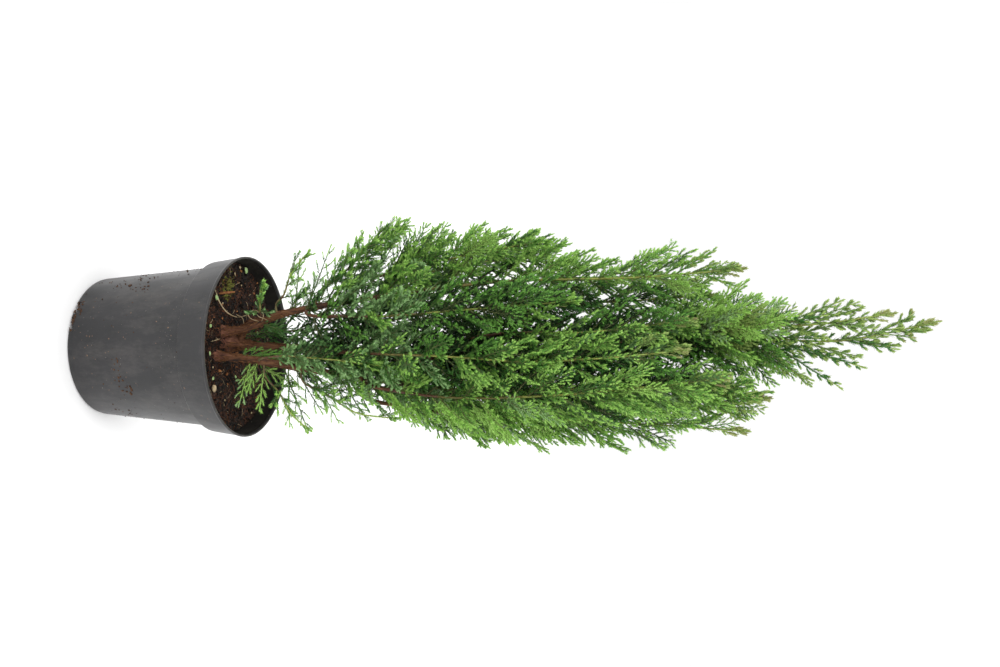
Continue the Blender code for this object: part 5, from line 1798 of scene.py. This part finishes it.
def make_foliage(limbs, rng):
    """Sprays on every plume and on the trunk inside the crown, then those from the tables."""
    twigs = []
    for index, plume in enumerate(PLUMES):
        dice = random.Random(SEED + index)
        grow_sprays(twigs, limbs[plume.name], plume, dice)
        grow_leader(twigs, limbs[plume.name], plume, dice)
    core = Limb("core", Route(CORE.way), TRUNK_RADIUS, TRUNK_TIP_RADIUS)
    core.bare = core.route.at_height(CORE.height)
    grow_sprays(twigs, core, CORE, random.Random(SEED))
    for table, style in ((FRONDS, FERN), (SIDE_SHOOTS, BRUSH), (TOP_SHOOTS, SHOOT), (UPPER_SPRAYS, FLAT)):
        grow_fronds(twigs, table, style, limbs, random.Random(SEED))
    rows = twig_rows(twigs)
    spikes = Batch()
    for bent in (0, 1):
        spikes.add(*twig_spikes(rows, bent))
    twig_piece = spikes.piece("twigs", stem_material("twig"))
    made = needle_pieces(*needle_arrays(rows, rng))
    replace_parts(made[0], *(f"foliage_{plume.name}" for plume in PLUMES))
    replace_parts(twig_piece, *(f"foliage_{plume.name}" for plume in PLUMES))


def main():
    rng = np.random.default_rng(SEED)
    limbs = build_limbs()
    finishes = {name: grain_material(name, *look) for name, look in GRAINS.items()}
    finishes["compost"] = compost_material()
    make_pot(pot_material(), finishes["pot_inside"], finishes["pot_lip_painted_highlight"])
    make_soil(finishes["compost"])
    for name, finish, count, *crumbs in CRUMBS:
        make_crumbs(name, finishes[finish], rng, strewn(rng, count), *crumbs)
    for name, finish, *fibres in FIBRES:
        make_fibres(name, finishes[finish], rng, *fibres)
    make_litter(finishes)
    make_specks("pot_dust", POT_DUST, finishes["dust"], SEED + 3)
    make_specks("pot_dirt", POT_DIRT, finishes["dried_soil"], SEED + 2)
    make_bark(limbs, finishes)
    make_stems(limbs)
    make_foliage(limbs, rng)


def make_camera():
    """The photograph's view: turned a quarter, so that the plant's top points to the right."""
    camera_data = bpy.data.cameras.new("camera")
    camera_data.sensor_fit = "HORIZONTAL"
    camera_data.sensor_width = CAMERA_SENSOR
    camera_data.lens = CAMERA_LENS
    camera = linked("camera", camera_data)
    right = Vector((0.0, math.sin(CAMERA_PITCH), math.cos(CAMERA_PITCH)))
    up = Vector((-1.0, 0.0, 0.0))
    turn = Matrix((right, up, right.cross(up))).transposed()
    camera.matrix_world = Matrix.Translation(CAMERA_PLACE) @ turn.to_4x4()
    bpy.context.scene.camera = camera


def make_light(name, place, size, power):
    data = bpy.data.lights.new(name, "AREA")
    data.shape = "DISK"
    data.size = size
    data.energy = power
    light = linked(name, data)
    light.location = place
    aim = Vector(LIGHT_TARGET) - Vector(place)
    light.rotation_euler = aim.to_track_quat("-Z", "Y").to_euler()


def make_stage():
    """A plain white floor and soft studio light."""
    bm = bmesh.new()
    bmesh.ops.create_circle(bm, cap_ends=True, segments=96, radius=FLOOR_RADIUS)
    mesh = mesh_from(bm, "floor")
    white, tree, shader = principled("floor_white", (0.96, 0.96, 0.96), 0.9)
    tree.links.new(ramp(tree, noise_node(tree, 3.0), (0.3, (0.955,) * 3), (0.7, (0.965,) * 3)),
                   shader.inputs["Base Color"])
    mesh.materials.append(white)
    floor = linked("floor", mesh)
    world = bpy.data.worlds.new("studio")
    world.use_nodes = True
    background = world.node_tree.nodes["Background"]
    background.inputs["Color"].default_value = (1.0, 1.0, 1.0, 1.0)
    background.inputs["Strength"].default_value = WORLD_STRENGTH
    bpy.context.scene.world = world
    bpy.context.scene.view_settings.view_transform = "Standard"
    for light in LIGHTS:
        make_light(*light)


make_camera()
main()
make_stage()
